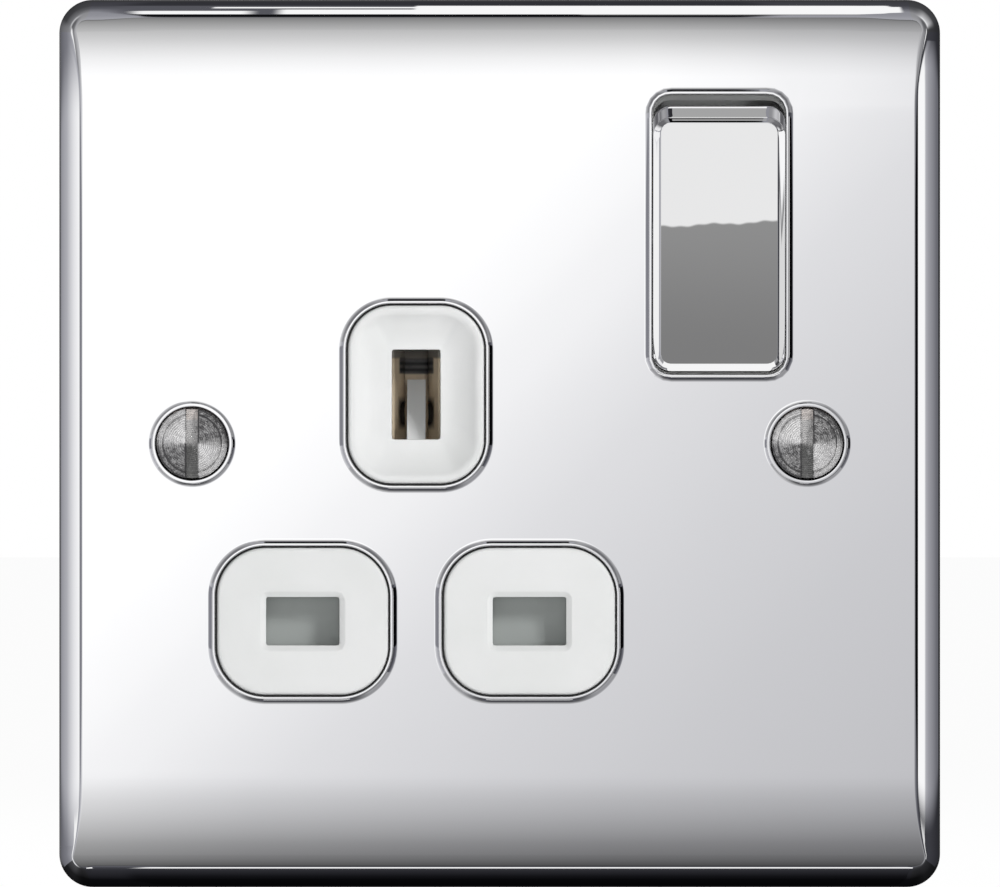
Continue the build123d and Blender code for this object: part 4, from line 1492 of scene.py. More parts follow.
    def _walls(self, panel: Panel) -> None:
        """Adds the web's outer walls, stepped in at the two screw notches.

        Args:
            panel: The web's panel.
        """
        half, tall, nx, ny = self.half_width, self.half_height, self.notch_x, self.notch_y
        loop = [(-half, -tall), (half, -tall), (half, -ny), (nx, -ny), (nx, ny), (half, ny), (half, tall)]
        loop += [(-half, tall), (-half, ny), (-nx, ny), (-nx, -ny), (-half, -ny), (-half, -tall)]
        for a, b in zip(loop, loop[1:]):
            cell = Cell(min(a[0], b[0]), max(a[0], b[0]), min(a[1], b[1]), max(a[1], b[1]))
            spots = panel.lattice(cell).reshape(-1, 2)
            self.surface.grid(np.stack([level_row(spots, self.back), level_row(spots, self.web)]))

    def _posts(self) -> None:
        """Adds the two square posts under the web, as closed blocks sunk into it."""
        for x, y in self.post_spots:
            post = Opening(x, y, self.post_side, self.post_side, self.post_corner)
            slab(self.surface, post, self.post_foot, self.back + self.post_sunk, self.post_edge)


@dataclass
class RockerCap:
    """The polished rocker: a hollow cap with drafted ends and round edges, tilted to ON."""

    pivot: Triple = (ROCKER_X, ROCKER_Y, 3.0)
    tilt_degrees: float = 7.0
    width: float = 12.95
    top: float = 5.8
    foot: float = 2.0
    foot_half: float = 13.483
    draft_degrees: float = 10.0
    corner: float = 1.7
    corner_drawn: float = 0.7
    wall: float = 1.0
    side_edge: float = 0.75
    end_edge: float = 0.7
    upper_edge: float = 0.36
    edge_rise: float = 0.5
    lean_degrees: float = 40.0
    lean_rise: float = 1.15
    hold: Span = (0.2, 0.04)
    edge_section: tuple[Span, ...] = (
        (0.0, 0.0), (0.008, 0.06), (0.03, 0.12), (0.07, 0.17), (0.13, 0.22), (0.5, 0.58),
        (0.84, 0.905), (0.91, 0.958), (0.96, 0.987), (1.0, 1.0),
    )
    foot_section: tuple[float, ...] = (0.0, 0.004, 0.008, 0.012, 0.016, 0.055, 0.787, 0.906, 0.971, 1.0)
    face_shares: tuple[float, ...] = (0.995, 0.93, 0.6, 0.0)
    count: int = 200

    def outline(self, height: float, inset: float, drawn: float, foot_drawn: float) -> Opening:
        """The cap's plan at a height.

        The ends lean in by the draft, and the upper end leans further over its last stretch.
        Over the edge, the sides and ends draw in by a share of their edge widths, the lower end
        by its own share, so that its bevel is flatter.

        Args:
            height: Height above the pivot.
            inset: How far inside the outer skin.
            drawn: Share of the edge widths that is drawn in.
            foot_drawn: That share at the lower end.

        Returns:
            The outline.
        """
        draft, lean = math.tan(math.radians(self.draft_degrees)), math.tan(math.radians(self.lean_degrees))
        half = self.foot_half - (height - self.foot) * draft - inset
        last = self.top - inset - self.edge_rise - self.lean_rise
        up = half - (lean - draft) * min(max(height - last, 0.0), self.lean_rise) - self.upper_edge * drawn
        down = half - self.end_edge * foot_drawn
        width = self.width - 2 * (inset + self.side_edge * drawn)
        radius = max(self.corner - inset - self.corner_drawn * drawn, 0.3)
        return Opening(0.0, (up - down) / 2, width, up + down, radius)

    def rows(self, inset: float) -> list[Array]:
        """One skin of the cap, from its foot to the middle of its face.

        Args:
            inset: How far inside the outer skin.

        Returns:
            The rows, about the pivot.
        """
        top = self.top - inset
        angles = self.outline(self.foot, inset, 0.0, 0.0).even_angles(self.count)
        edge = top - self.edge_rise
        lean = edge - self.lean_rise
        far, near = self.hold
        heights = [self.foot, lean - far, lean - near, lean + near, lean + far, edge - far, edge - near]
        section = [(z, 0.0, 0.0) for z in heights]
        for (drawn, rise), low in zip(self.edge_section, self.foot_section):
            section.append((top - self.edge_rise * (1.0 - rise), drawn, low))
        made = [level_row(self.outline(z, inset, drawn, low).rim(angles), z) for z, drawn, low in section]
        rim = made[-1][:, :2]
        centre = rim.mean(axis=0)
        made += [level_row(centre + (rim - centre) * share, top) for share in self.face_shares]
        return made

    def on_axis(self, height: float) -> Triple:
        """A point on the cap's tilted axis, at a height above its pivot."""
        turn, (x, y, z) = math.radians(self.tilt_degrees), self.pivot
        return (x, y - height * math.sin(turn), z + height * math.cos(turn))

    def build(self) -> Object:
        """Makes the cap, inside and outside, tilted about its pivot.

        Returns:
            The new piece.
        """
        grid = np.stack(self.rows(self.wall)[::-1] + self.rows(0.0))
        turn = math.radians(self.tilt_degrees)
        c, s = math.cos(turn), math.sin(turn)
        x, y, z = grid[..., 0], grid[..., 1], grid[..., 2]
        tilted = columns(x, y * c - z * s, y * s + z * c)
        surface = Surface()
        surface.grid(tilted + np.array(self.pivot), closed=True)
        return surface.build("rocker_cap_polished", sharp_degrees=50.0)


@dataclass
class FixingScrews:
    """Two raised countersunk screws with a slot, a turned crown and a threaded shank."""

    head: float = 3.45
    seat: float = 7.25
    crown: float = 0.72
    step_rise: float = 0.1
    step_span: Span = (0.8, 0.06)
    slot_half: float = 0.565
    slot_floor: float = 6.75
    slot_rows: tuple[float, ...] = (0.0, 0.02, 0.045)
    crown_rows: tuple[float, float, int] = (0.08, 1.0, 15)
    lip_drop: float = 0.07
    lip_width: float = 0.12
    lip_end: float = 0.995
    floor_points: int = 9
    rim_taper: float = 0.06
    cone: float = 1.05
    shank: float = 1.75
    tip: float = -20.0
    tip_share: float = 0.75
    pitch: float = 0.6
    thread: float = 0.13
    thread_rows: int = 5
    plain: Span = (1.2, 1.5)
    spans: int = 40
    surface: Surface = field(default_factory=Surface)

    def dome(self, x: Array, y: Array) -> Array:
        """Height of the crown: a bowl upside down, with a turned step near the rim and soft slot edges.

        Args:
            x: Distance from the slot's middle line.
            y: Distance along the slot.

        Returns:
            The heights.
        """
        radius = np.hypot(x, y) / self.head
        start, width = self.step_span
        step = self.step_rise * (1.0 - smoothstep((radius - start) / width))
        lip = self.lip_drop * (1.0 - np.clip((np.abs(x) - self.slot_half) / self.lip_width, 0.0, 1.0)) ** 2
        bowl = (self.crown - self.step_rise) * (1.0 - radius**2)
        return self.seat + bowl + step - lip * (radius < self.lip_end)

    def _head(self, move: Array) -> Array:
        """Adds one screw's crown halves, slot walls and slot floor.

        Args:
            move: The screw's place.

        Returns:
            The loop round the head at the slot's depth, about the screw's axis.
        """
        h, r = self.slot_half, self.head
        low = r - self.rim_taper
        v = np.sin(np.linspace(-1.0, 1.0, self.spans + 1) * math.pi / 2)
        u = np.concatenate([self.slot_rows, np.linspace(*self.crown_rows)])
        y_top, y_low = v * math.sqrt(r * r - h * h), v * math.sqrt(low * low - h * h)
        rim_x, low_x = np.sqrt(r * r - y_top**2), np.sqrt(low * low - y_low**2)
        level = np.full_like(v, self.slot_floor)
        rings = []
        for side in (1.0, -1.0):
            x = h + u[:, None] * (rim_x - h)[None, :]
            y = np.broadcast_to(y_top, x.shape)
            crown = columns(side * x, y, self.dome(x, y))
            ring = columns(side * low_x, y_low, level)
            slot = columns(np.full_like(v, side * h), y_low, level)
            for grid in (crown, np.stack([crown[-1], ring]), np.stack([crown[0], slot])):
                self.surface.grid(grid + move)
            rings.append(ring)
        across = np.linspace(h, -h, self.floor_points)
        reach = np.sqrt(low * low - across**2)
        ends = columns(across, reach, np.full_like(across, self.slot_floor))
        spots = np.broadcast_arrays(across[:, None], reach[:, None] * v[None, :], self.slot_floor)
        floor = np.stack(spots, axis=-1)
        floor[0, :, 1], floor[-1, :, 1] = y_low, y_low
        self.surface.grid(floor + move)
        return np.concatenate([rings[0], ends[1:], rings[1][::-1][1:], (ends * [-1.0, -1.0, 1.0])[1:-1]])

    def _shank(self, loop: Array, move: Array) -> None:
        """Adds one screw's cone and shank, with a thread that follows a helix.

        The thread's depth is a saw of the height in pitches less the turn, and eases in below
        the neck.

        Args:
            loop: The loop round the head.
            move: The screw's place.
        """
        angle = np.arctan2(loop[:, 1], loop[:, 0])
        neck = self.slot_floor - self.cone * (self.head - self.rim_taper - self.shank)
        falling = np.arange(neck - self.pitch, self.tip + 0.5, -self.pitch / self.thread_rows)
        heights = np.concatenate([[neck], falling])
        turns = (heights[:, None] / self.pitch - angle[None, :] / (2 * math.pi)) % 1.0
        eased = smoothstep((neck - self.plain[0] - heights) / self.plain[1])[:, None]
        radius = self.shank - self.thread * np.abs(2.0 * turns - 1.0) * eased
        around = columns(np.cos(angle), np.sin(angle))
        level = np.broadcast_to(heights[:, None, None], (*radius.shape, 1))
        body = np.concatenate([radius[..., None] * around, level], axis=-1)
        ends = [level_row(share * self.shank * around, self.tip) for share in (self.tip_share, 0.0)]
        self.surface.grid(np.concatenate([loop[None], body, np.stack(ends)]) + move, closed=True)

    def build(self) -> Object:
        """Makes both screws as one piece.

        Returns:
            The new piece.
        """
        for x in (-SCREW_X, SCREW_X):
            move = np.array([x, 0.0, 0.0])
            self._shank(self._head(move), move)
        return self.surface.build("fixing_screws_turned", sharp_degrees=40.0)


@dataclass
class EarthContact:
    """The bronze earth clip: two pierced leaves bent to a throat, their base and the tail."""

    x: float = PLUG_X
    y: float = EARTH_Y
    mouth: Span = (2.15, -1.4)
    throat: Span = (1.1, -4.6)
    hip: Span = (2.6, -14.3)
    base: float = -16.7
    leaf: float = 0.8
    tall: float = 9.0
    hole_y: float = -1.8
    hole_radius: float = 1.1
    hole_up: float = 0.6
    hole_cell: float = 1.7
    strip_width: float = 5.0
    tail_top: float = 20.9
    bend: float = 0.6
    samples: int = 600
    corner: float = 0.2
    edge: float = 0.1
    step: float = 0.6
    surface: Surface = field(default_factory=Surface)

    def profile(self) -> tuple[Array, Array]:
        """A leaf's section from mouth to base, as a polyline.

        Returns:
            Its knots, and the distance along it to each.
        """
        knots = np.array([self.mouth, self.throat, self.hip, (self.hip[0], self.base)])
        spans = np.linalg.norm(np.diff(knots, axis=0), axis=1)
        return knots, np.concatenate([[0.0], np.cumsum(spans)])

    def bent(self, spots: Array, depth: float) -> Array:
        """Carries flat points along the leaf's profile.

        The profile is a polyline from mouth to base whose corners are rounded by averaging it
        over the length of a bend. A point's distance runs along it, and depth along its normal.

        Args:
            spots: Distance along the profile and height along y, in the last axis.
            depth: Distance outwards from the inner face.

        Returns:
            Points about the clip's own middle.
        """
        knots, run = self.profile()
        fine = np.linspace(-self.bend, run[-1] + self.bend, self.samples)
        raw = np.stack([np.interp(fine, run, knots[:, k]) for k in (0, 1)], axis=-1)
        first, last = (knots[1] - knots[0]) / run[1], (knots[3] - knots[2]) / (run[3] - run[2])
        raw += np.minimum(fine, 0.0)[:, None] * first + np.maximum(fine - run[-1], 0.0)[:, None] * last
        width = max(3, int(self.bend / (fine[1] - fine[0])) | 1)
        padded = np.pad(raw, ((width // 2, width // 2), (0, 0)), mode="edge")
        even = np.ones(width) / width
        smooth = np.stack([np.convolve(padded[:, k], even, "valid") for k in (0, 1)], axis=-1)
        slope = np.gradient(smooth, fine, axis=0)
        slope /= np.linalg.norm(slope, axis=1)[:, None]
        x = np.interp(spots[..., 0], fine, smooth[:, 0] - depth * slope[:, 1])
        z = np.interp(spots[..., 0], fine, smooth[:, 1] + depth * slope[:, 0])
        return columns(x, spots[..., 1], z)

    def _leaf(self, side: float) -> None:
        """Adds one leaf, with both faces, the hole's wall and the edges.

        Args:
            side: 1 for the right leaf, -1 for the left one.
        """
        run = self.profile()[1]
        half, at, r, room = self.tall / 2, float(run[1]) - self.hole_up, self.hole_radius, self.hole_cell
        hole = Opening(at, self.hole_y, 2 * r, 2 * r, r)
        near, far, low, high = at - room, at + room, self.hole_y - room, self.hole_y + room
        cells = [
            Cell(near, far, low, high, hole),
            Cell(0.0, near, -half, half),
            Cell(near, far, -half, low),
            Cell(near, far, high, half),
            Cell(far, float(run[3]), -half, half),
        ]
        panel = Panel(cells, self.step)
        move, flip = np.array([self.x, self.y, 0.0]), np.array([side, 1.0, 1.0])
        border = panel.border(cells[0])
        edge = hole.rim(hole.directions(border))
        ways = ((border, 0.0), (edge, 0.0), (edge, self.leaf), (border, self.leaf))
        rows = np.stack([self.bent(line, depth) for line, depth in ways])
        # The hole's wall gets painted crevice shade, fading out onto the leaf round it, so the hole looks
        # dark.
        self.surface.grid(rows * flip + move, closed=True, shade=np.array([0.0, 1.0, 1.0, 0.0]))
        for cell in cells[1:]:
            for depth in (0.0, self.leaf):
                self.surface.grid(self.bent(panel.lattice(cell), depth) * flip + move)
        rim = panel.border(Cell(0.0, float(run[3]), -half, half))
        rows = np.stack([self.bent(rim, 0.0), self.bent(rim, self.leaf)])
        self.surface.grid(rows * flip + move, closed=True)

    def build(self) -> Object:
        """Makes the clip with its base and tail.

        Returns:
            The new piece.
        """
        for side in (1.0, -1.0):
            self._leaf(side)
        top = self.base + self.leaf
        wide = 2 * (self.hip[0] + self.leaf)
        slab(self.surface, Opening(self.x, self.y, wide, self.tall, self.corner), self.base, top, self.edge)
        foot = self.y + self.tall / 2
        middle, length = (foot + self.tail_top) / 2, self.tail_top - foot
        tail = Opening(self.x, middle, self.strip_width, length, self.corner)
        slab(self.surface, tail, self.base, top, self.edge)
        return self.surface.build("earth_contact_pierced", sharp_degrees=40.0)


@dataclass(frozen=True)
class CoilSpring:
    """A compression spring of round wire, with close turns at both ends."""

    name: str
    foot: Triple
    head: Triple
    radius: float
    wire: float
    turns: float
    travel: float
    dead_turns: float = 0.75
    dead_climb: float = 2.1
    steps: int = 28
    sides: int = 10

    def build(self) -> Object:
        """Winds the wire: a circle carried along a helix from foot to head.

        The helix turns evenly about the axis. It climbs by one wire for each close turn and
        spreads the rest over the turns between. Both ends close in a point.

        Returns:
            The new piece.
        """
        foot = np.array(self.foot)
        span = np.array(self.head) - foot
        length = float(np.linalg.norm(span))
        axis = span / length
        across = np.array([1.0, 0.0, 0.0])
        aside = np.cross(axis, across)
        share = np.linspace(0.0, 1.0, int(self.turns * self.steps) + 1)
        climb = length - 2 * self.wire
        close = self.dead_turns / self.turns
        low = self.dead_climb * self.wire * self.dead_turns / climb
        risen = np.interp(share, [0.0, close, 1.0 - close, 1.0], [0.0, low, 1.0 - low, 1.0])
        height = self.wire + climb * risen
        turn = (2 * math.pi * self.turns * share)[:, None]
        out = np.cos(turn) * across + np.sin(turn) * aside
        middle = foot + self.radius * out + height[:, None] * axis
        around = np.linspace(0.0, 2 * math.pi, self.sides, endpoint=False)
        thick = np.full(len(share), self.wire)
        thick[[0, -1]] = 0.0
        ring = np.cos(around)[:, None] * out[:, None, :] + np.sin(around)[:, None] * axis
        surface = Surface()
        surface.grid(middle[:, None, :] + thick[:, None, None] * ring, closed=True)
        return surface.build(self.name, sharp_degrees=60.0)

    def press(self, piece: Object, joint: str) -> None:
        """Gives the spring's piece a mesh of its own.

        Args:
            piece: The spring's piece.
            joint: Not used.
        """
        foot, head = stand(np.array(self.foot)), stand(np.array(self.head))
        length = float(np.linalg.norm(head - foot))
        1.0 - self.travel * MM / length
        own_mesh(piece)


SHUTTER_SPRING = CoilSpring(
    "shutter_spring_wound", (PLUG_X, -29.42, 1.65), (PLUG_X, -20.42, 1.65),
    radius=0.95, wire=0.2, turns=5.5, travel=5.5,
)
PLUNGER_SPRING = CoilSpring(
    "plunger_spring_wound", RockerCap().on_axis(-0.91), RockerCap().on_axis(-3.79),
    radius=1.15, wire=0.17, turns=3.5, travel=0.8,
)


def softened(node: Object, name: str, edge: float) -> Object:
    """Copies a node's solid, merges its corners and gives it soft edges.

    Args:
        node: The frame's object.
        name: Name of the copy.
        edge: Width of the edges, in millimetres.

    Returns:
        The copy, at the origin.
    """
    mesh = node.data.copy()
    mesh.name = name
    mesh.transform(node.matrix_world)
    weld(mesh)
    piece = add_object(name, mesh)
    bevel = piece.modifiers.new("soft_edges", "BEVEL")
    bevel.width = edge * MM
    bevel.segments = 2
    bevel.limit_method = "ANGLE"
    bevel.angle_limit = math.radians(40.0)
    bevel.harden_normals = True
    return piece


# Pairs of a place and a display grey, or of a place and a share.
Levels = tuple[Span, ...]
Stops = list[tuple[float, Colour]]
SOCKET = np.array([ROCKER_X, 0.0, ROCKER_Y]) * MM
BLACK = (0.0, 0.0, 0.0, 1.0)
FULL_WHITE = (1.0, 1.0, 1.0, 1.0)
HALF_TURN = 180.0


@dataclass(frozen=True)
class EdgeCard:
    """Greys of one card by mirrored angle, its span along the edge, and strips laid over it.

    The card lies across an axis of the frame, on the side that the sign gives. Each strip has
    its ends along the edge, its two angles, the softness of its ends and its grey.
    """

    axis: int
    sign: float
    middle: Levels
    ends: Levels
    span: Triple
    length: float = 0.6
    strips: tuple[tuple[float, float, float, float, float, float], ...] = ()


EDGE_CARDS = {
    "upper_card": EdgeCard(
        2, 1.0,
        ((0, 210), (34, 122), (37, 25), (80, 8), (85, 25), (88, 88), (120, 88), (124, 52), (180, 42)),
        ((0, 210), (34, 165), (60, 150), (95, 142), (110, 92), (122, 68), (180, 50)),
        (-38.0, 27.0, 2.0),
        strips=(
            (-36.0, -24.5, 88.5, 101.0, 1.0, 254),
            (-28.5, 0.0, 110.8, 116.5, 0.3, 254),
            (-21.7, 0.0, 88.5, 106.0, 0.8, 254),
            (-8.4, 39.0, 87.7, 122.0, 0.3, 254),
            (34.0, 41.0, 91.0, 116.0, 1.4, 254),
            (8.0, 36.0, 78.0, 87.3, 0.5, 168),
        ),
    ),
    "lower_card": EdgeCard(
        2, -1.0,
        (
            (0, 170), (30, 85), (36, 66), (45, 60), (48, 255), (62, 255),
            (66, 60), (80, 48), (92, 33), (101, 20), (115, 8), (180, 0),
        ),
        ((0, 170), (30, 100), (47, 75), (60, 62), (92, 40), (115, 12), (180, 5)),
        (-36.5, 43.0, 1.0),
    ),
    "left_card": EdgeCard(
        0, -1.0,
        (
            (0, 252), (6, 205), (14, 140), (40, 125), (50, 130), (53, 250),
            (64, 248), (78, 231), (107, 177), (144, 146), (180, 130),
        ),
        ((0, 250), (10, 220), (30, 175), (50, 155), (64, 180), (78, 165), (107, 125), (144, 100), (180, 80)),
        (-37.0, 36.0, 4.0),
        2.0,
        ((-230.0, -37.0, 56.0, 78.0, 1.0, 248),),
    ),
    "right_card": EdgeCard(
        0, 1.0,
        (
            (0, 192), (5, 178), (10, 60), (18, 8), (46, 4), (49, 254),
            (74, 254), (79, 182), (90, 158), (129, 110), (180, 84),
        ),
        ((0, 190), (10, 130), (30, 75), (60, 60), (90, 62), (129, 48), (180, 36)),
        (-36.0, 39.0, 2.5),
        2.0,
        ((-230.0, -38.0, 60.0, 76.0, 1.0, 222),),
    ),
}

# Greys that mirrors find around the studio, by angle from straight ahead.
SKY: dict[str, Levels] = {
    "up": EDGE_CARDS["upper_card"].ends,
    "down": EDGE_CARDS["lower_card"].ends,
    "left": (
        (0, 250), (10, 220), (30, 165), (50, 120), (57, 240),
        (74, 245), (84, 150), (107, 125), (144, 100), (180, 80),
    ),
    "right": (
        (0, 190), (10, 130), (20, 128), (27, 142), (44, 150), (50, 60), (52, 50),
        (58, 235), (64, 235), (69, 75), (90, 62), (129, 48), (180, 36),
    ),
    "upper_left": (
        (0, 250), (15, 195), (40, 120), (60, 95), (75, 110), (88, 200), (100, 120), (125, 65), (180, 45),
    ),
    "upper_right": (
        (0, 215), (15, 175), (40, 110), (60, 90), (75, 120), (86, 240), (96, 200), (125, 70), (180, 45),
    ),
    "lower_left": (
        (0, 240), (15, 200), (28, 165), (40, 152), (53, 156),
        (57, 240), (72, 240), (84, 85), (120, 30), (180, 12),
    ),
    "lower_right": (
        (0, 190), (15, 155), (26, 148), (40, 154), (54, 156), (60, 80), (90, 45), (120, 25), (180, 12),
    ),
}


@dataclass(frozen=True)
class FrontCard:
    """The card in front: its size in metres, and its greys across the face and beyond it."""

    half: float = 0.075
    top: float = 0.362
    foot: float = -0.335
    face: Span = (-36.0, 37.0)
    tint: float = 0.14
    slants: Span = (-40.0, 80.0)
    tones: Levels = (
        (-40, 255), (-22, 255), (-13, 248), (-9, 243), (-4, 240), (4, 230),
        (12, 221), (20, 216), (30, 210), (40, 205), (47, 201), (80, 189),
    )
    heights: Span = (-340.0, 370.0)
    fall: Levels = (
        (-335, 0.03), (-307, 0.135), (-268, 0.24), (-190, 0.4), (-120, 0.6),
        (-70, 0.775), (-55, 0.865), (-42, 1.0), (91, 1.0), (138, 0.868),
        (176, 0.742), (219, 0.596), (268, 0.436), (342, 0.18), (362, 0.1),
    )


@dataclass(frozen=True)
class RockerCard:
    """The level card that the tilted rocker mirrors, in metres, and its greys."""

    near: float = -0.00735
    far: float = -0.13
    height: float = 0.0065
    left: float = 0.0152
    right: float = 0.0278
    far_right: float = 0.0298
    line: float = 0.0676
    line_slope: float = 0.2
    line_soft: float = 0.0006
    ripples: tuple[Span, ...] = ((1100.0, 0.0004), (3700.0, 0.0002))
    fade: Span = (0.015, 0.08)
    near_grey: float = 128
    far_grey: float = 146
    past_grey: float = 238
    foot: Span = (-0.0116, -0.0113)
    foot_grey: float = 252


# Each lamp's name, place, size and power.
LAMPS = (
    ("key_lamp", (0.41, -0.6, 0.34), 0.18, 3.1),
    ("fill_lamp", (0.03, -1.7, 0.045), 0.1, 4.2),
    ("back_lamp", (-0.5, 0.8, 0.55), 0.5, 6.0),
    ("side_lamp", (0.8, 0.4, 0.3), 0.5, 4.5),
)


@dataclass
class Studio:
    """Plain soft studio: camera, pale floor, lamps and the cards that the chrome mirrors."""

    distance: float = 2.0
    frame_width_mm: float = 98.36
    sensor: float = 36.0
    aside: float = 0.03 * MM
    card_front: float = 0.5
    card_side: float = 0.351
    edge_at: float = 0.043
    edge_half: float = 0.07
    edge_foot: float = -0.25
    edge_back: float = 0.5
    edge_tint: float = 0.24
    strip_soft: float = 0.6
    floor_z: float = -0.056
    floor_half: float = 8.0
    floor_white: float = 0.96
    floor_grey: Colour = (0.97, 0.97, 0.97)
    zone_span: Span = (0.7, 0.97)
    ambient: Colour = (0.225, 0.227, 0.23)
    reflectance: float = 0.93
    front: FrontCard = FrontCard()
    rocker: RockerCard = RockerCard()

    def build(self) -> None:
        """Sets up camera, world, floor, cards and lamps."""
        self._camera()
        self._world()
        self._floor()
        self._front_card()
        for name, edge in EDGE_CARDS.items():
            self._edge_card(name, edge)
        self._rocker_card()
        for name, place, size, power in LAMPS:
            self._lamp(name, place, size, power)

    def _camera(self) -> None:
        """Looks straight at the plate, with a lens as wide as the photo's frame."""
        data = bpy.data.cameras.new("camera")
        data.sensor_width = self.sensor
        data.lens = self.sensor * self.distance / (self.frame_width_mm * MM)
        data.clip_end = 50.0
        camera = add_object("camera", data)
        camera.location = (self.aside, -self.distance, 0.0)
        camera.rotation_euler = (math.pi / 2, 0.0, 0.0)
        bpy.context.scene.camera = camera
        bpy.context.scene.view_settings.view_transform = "Standard"

    @staticmethod
    def _stops(levels: Levels, low: float, high: float, tint: float = 0.1) -> Stops:
        """Turns display greys into a ramp's stops, the darker the bluer.

        Args:
            levels: Pairs of a place and a display grey.
            low: Place of the ramp's start.
            high: Place of its end.
            tint: Share of extra blue in black.

        Returns:
            The stops.
        """
        stops = []
        for place, level in levels:
            blue = 0.005 + tint * (1.0 - level / 255.0)
            stops.append(((place - low) / (high - low), grey(level, blue)))
        return stops

    def _world(self) -> None:
        """White to the camera, even to matt surfaces, and dark and light zones to mirrors.

        A mirrored direction is sorted by its angle from straight ahead and by eight sides: up,
        down, left, right and the four slants between. Each side has its own greys, eased into
        the next by the share of the direction that lies sideways.
        """
        world = bpy.data.worlds.new("studio")
        bpy.context.scene.world = world
        world.use_nodes = True
        graph = Graph(world.node_tree)
        direction = graph.node("ShaderNodeTexCoord", output="Generated")
        x, y, z = graph.split(direction)
        angle = graph.math("ARCCOSINE", y * -1.0) / math.pi
        level = x * x / (x * x + z * z + TINY)
        side = graph.remap(level, *self.zone_span)
        tall = graph.remap(1.0 - level, *self.zone_span)
        slant = 1.0 - side - tall
        right, up = graph.math("GREATER_THAN", x, 0.0), graph.math("GREATER_THAN", z, 0.0)
        left, down = 1.0 - right, 1.0 - up
        shares = {
            "up": up * tall,
            "down": down * tall,
            "left": left * side,
            "right": right * side,
            "upper_left": up * left * slant,
            "upper_right": up * right * slant,
            "lower_left": down * left * slant,
            "lower_right": down * right * slant,
        }
        total = None
        for name, levels in SKY.items():
            tone = graph.ramp(angle, self._stops(levels, 0.0, HALF_TURN))
            lit = graph.mix(shares[name], BLACK, tone)
            total = lit if total is None else graph.blend("ADD", total, lit)
        glossy = graph.node("ShaderNodeLightPath", output="Is Glossy Ray")
        camera = graph.node("ShaderNodeLightPath", output="Is Camera Ray")
        colour = graph.mix(glossy, opaque(self.ambient), total)
        colour = graph.mix(camera, colour, FULL_WHITE)
        sky = graph.node("ShaderNodeBackground", {}, {"Color": colour, "Strength": 1.0})
        graph.node("ShaderNodeOutputWorld", {}, {"Surface": sky})

    def _sheet(self, name: str, corners: Sequence[Sequence[float]]) -> tuple[Object, Graph]:
        """A flat stage sheet that faces the socket.

        Args:
            name: Its name.
            corners: Its four corners in order, in metres.

        Returns:
            The sheet, and the graph of its empty shader.
        """
        spots = np.array(corners)
        across = np.cross(spots[1] - spots[0], spots[2] - spots[0])
        facing = spots if float(across @ (SOCKET - spots.mean(axis=0))) > 0 else spots[::-1]
        mesh = bpy.data.meshes.new(name)
        mesh.from_pydata(facing.tolist(), [], [(0, 1, 2, 3)])
        sheet = add_object(name, mesh)
        made, graph = new_material(name)
        mesh.materials.append(made)
        return sheet, graph

    def _glow(self, sheet: Object, graph: Graph, colour: Value) -> None:
        """Lets a sheet's front shine, for mirrors alone.

        Args:
            sheet: The sheet.
            graph: Its shader.
            colour: The colour in which it shines.
        """
        shine = graph.node("ShaderNodeEmission", {}, {"Color": colour, "Strength": 1.0})
        back = graph.node("ShaderNodeNewGeometry", output="Backfacing")
        clear = graph.node("ShaderNodeBsdfTransparent")
        either = graph.node("ShaderNodeMixShader", {}, {0: back, 1: shine, 2: clear})
        graph.node("ShaderNodeOutputMaterial", {}, {"Surface": either})
        for ray in ("camera", "diffuse", "shadow", "transmission", "volume_scatter"):
            setattr(sheet, f"visible_{ray}", False)

    def _floor(self) -> None:
        """A pale floor that keeps a soft shadow and stays out of the chrome."""
        z, half = self.floor_z, self.floor_half
        corners = [[-half, -half, z], [half, -half, z], [half, half, z], [-half, half, z]]
        floor, graph = self._sheet("floor", corners)
        matt = graph.node("ShaderNodeBsdfDiffuse", {}, {"Color": opaque(self.floor_grey)})
        white = graph.node("ShaderNodeEmission", {}, {"Color": FULL_WHITE, "Strength": 1.0})
        camera = graph.node("ShaderNodeLightPath", output="Is Camera Ray")
        both = graph.node("ShaderNodeMixShader", {}, {0: camera * self.floor_white, 1: matt, 2: white})
        graph.node("ShaderNodeOutputMaterial", {}, {"Surface": both})
        floor.visible_glossy = False

    def _front_card(self) -> None:
        """The card in front, whose greys the face and the pillow's ends mirror.

        Across the face its grey falls with x - y. Above and below the face it falls again, by
        the height at which the steepening pillow mirrors it. The chrome's own loss is added.
        """
        look = self.front
        y, half, top, foot = -self.card_front, look.half, look.top, look.foot
        corners = [[-half, y, foot], [half, y, foot], [half, y, top], [-half, y, top]]
        card, graph = self._sheet("front_card", corners)
        spread = MM * (1.0 + self.card_front / self.distance)
        x, _, z = graph.split(graph.place())
        low, high = look.face
        level = graph.math("MINIMUM", graph.math("MAXIMUM", z / spread, low), high)
        slant = x / spread - level
        low, high = look.slants
        tone = graph.ramp((slant - low) / (high - low), self._stops(look.tones, low, high, look.tint))
        low, high = look.heights
        stops = [((place - low) / (high - low), (share, share, share)) for place, share in look.fall]
        light = graph.ramp((z / MM - low) / (high - low), stops)
        gain = 1.0 / self.reflectance
        lit = graph.blend("MULTIPLY", tone, light)
        self._glow(card, graph, graph.blend("MULTIPLY", lit, opaque((gain, gain, gain))))

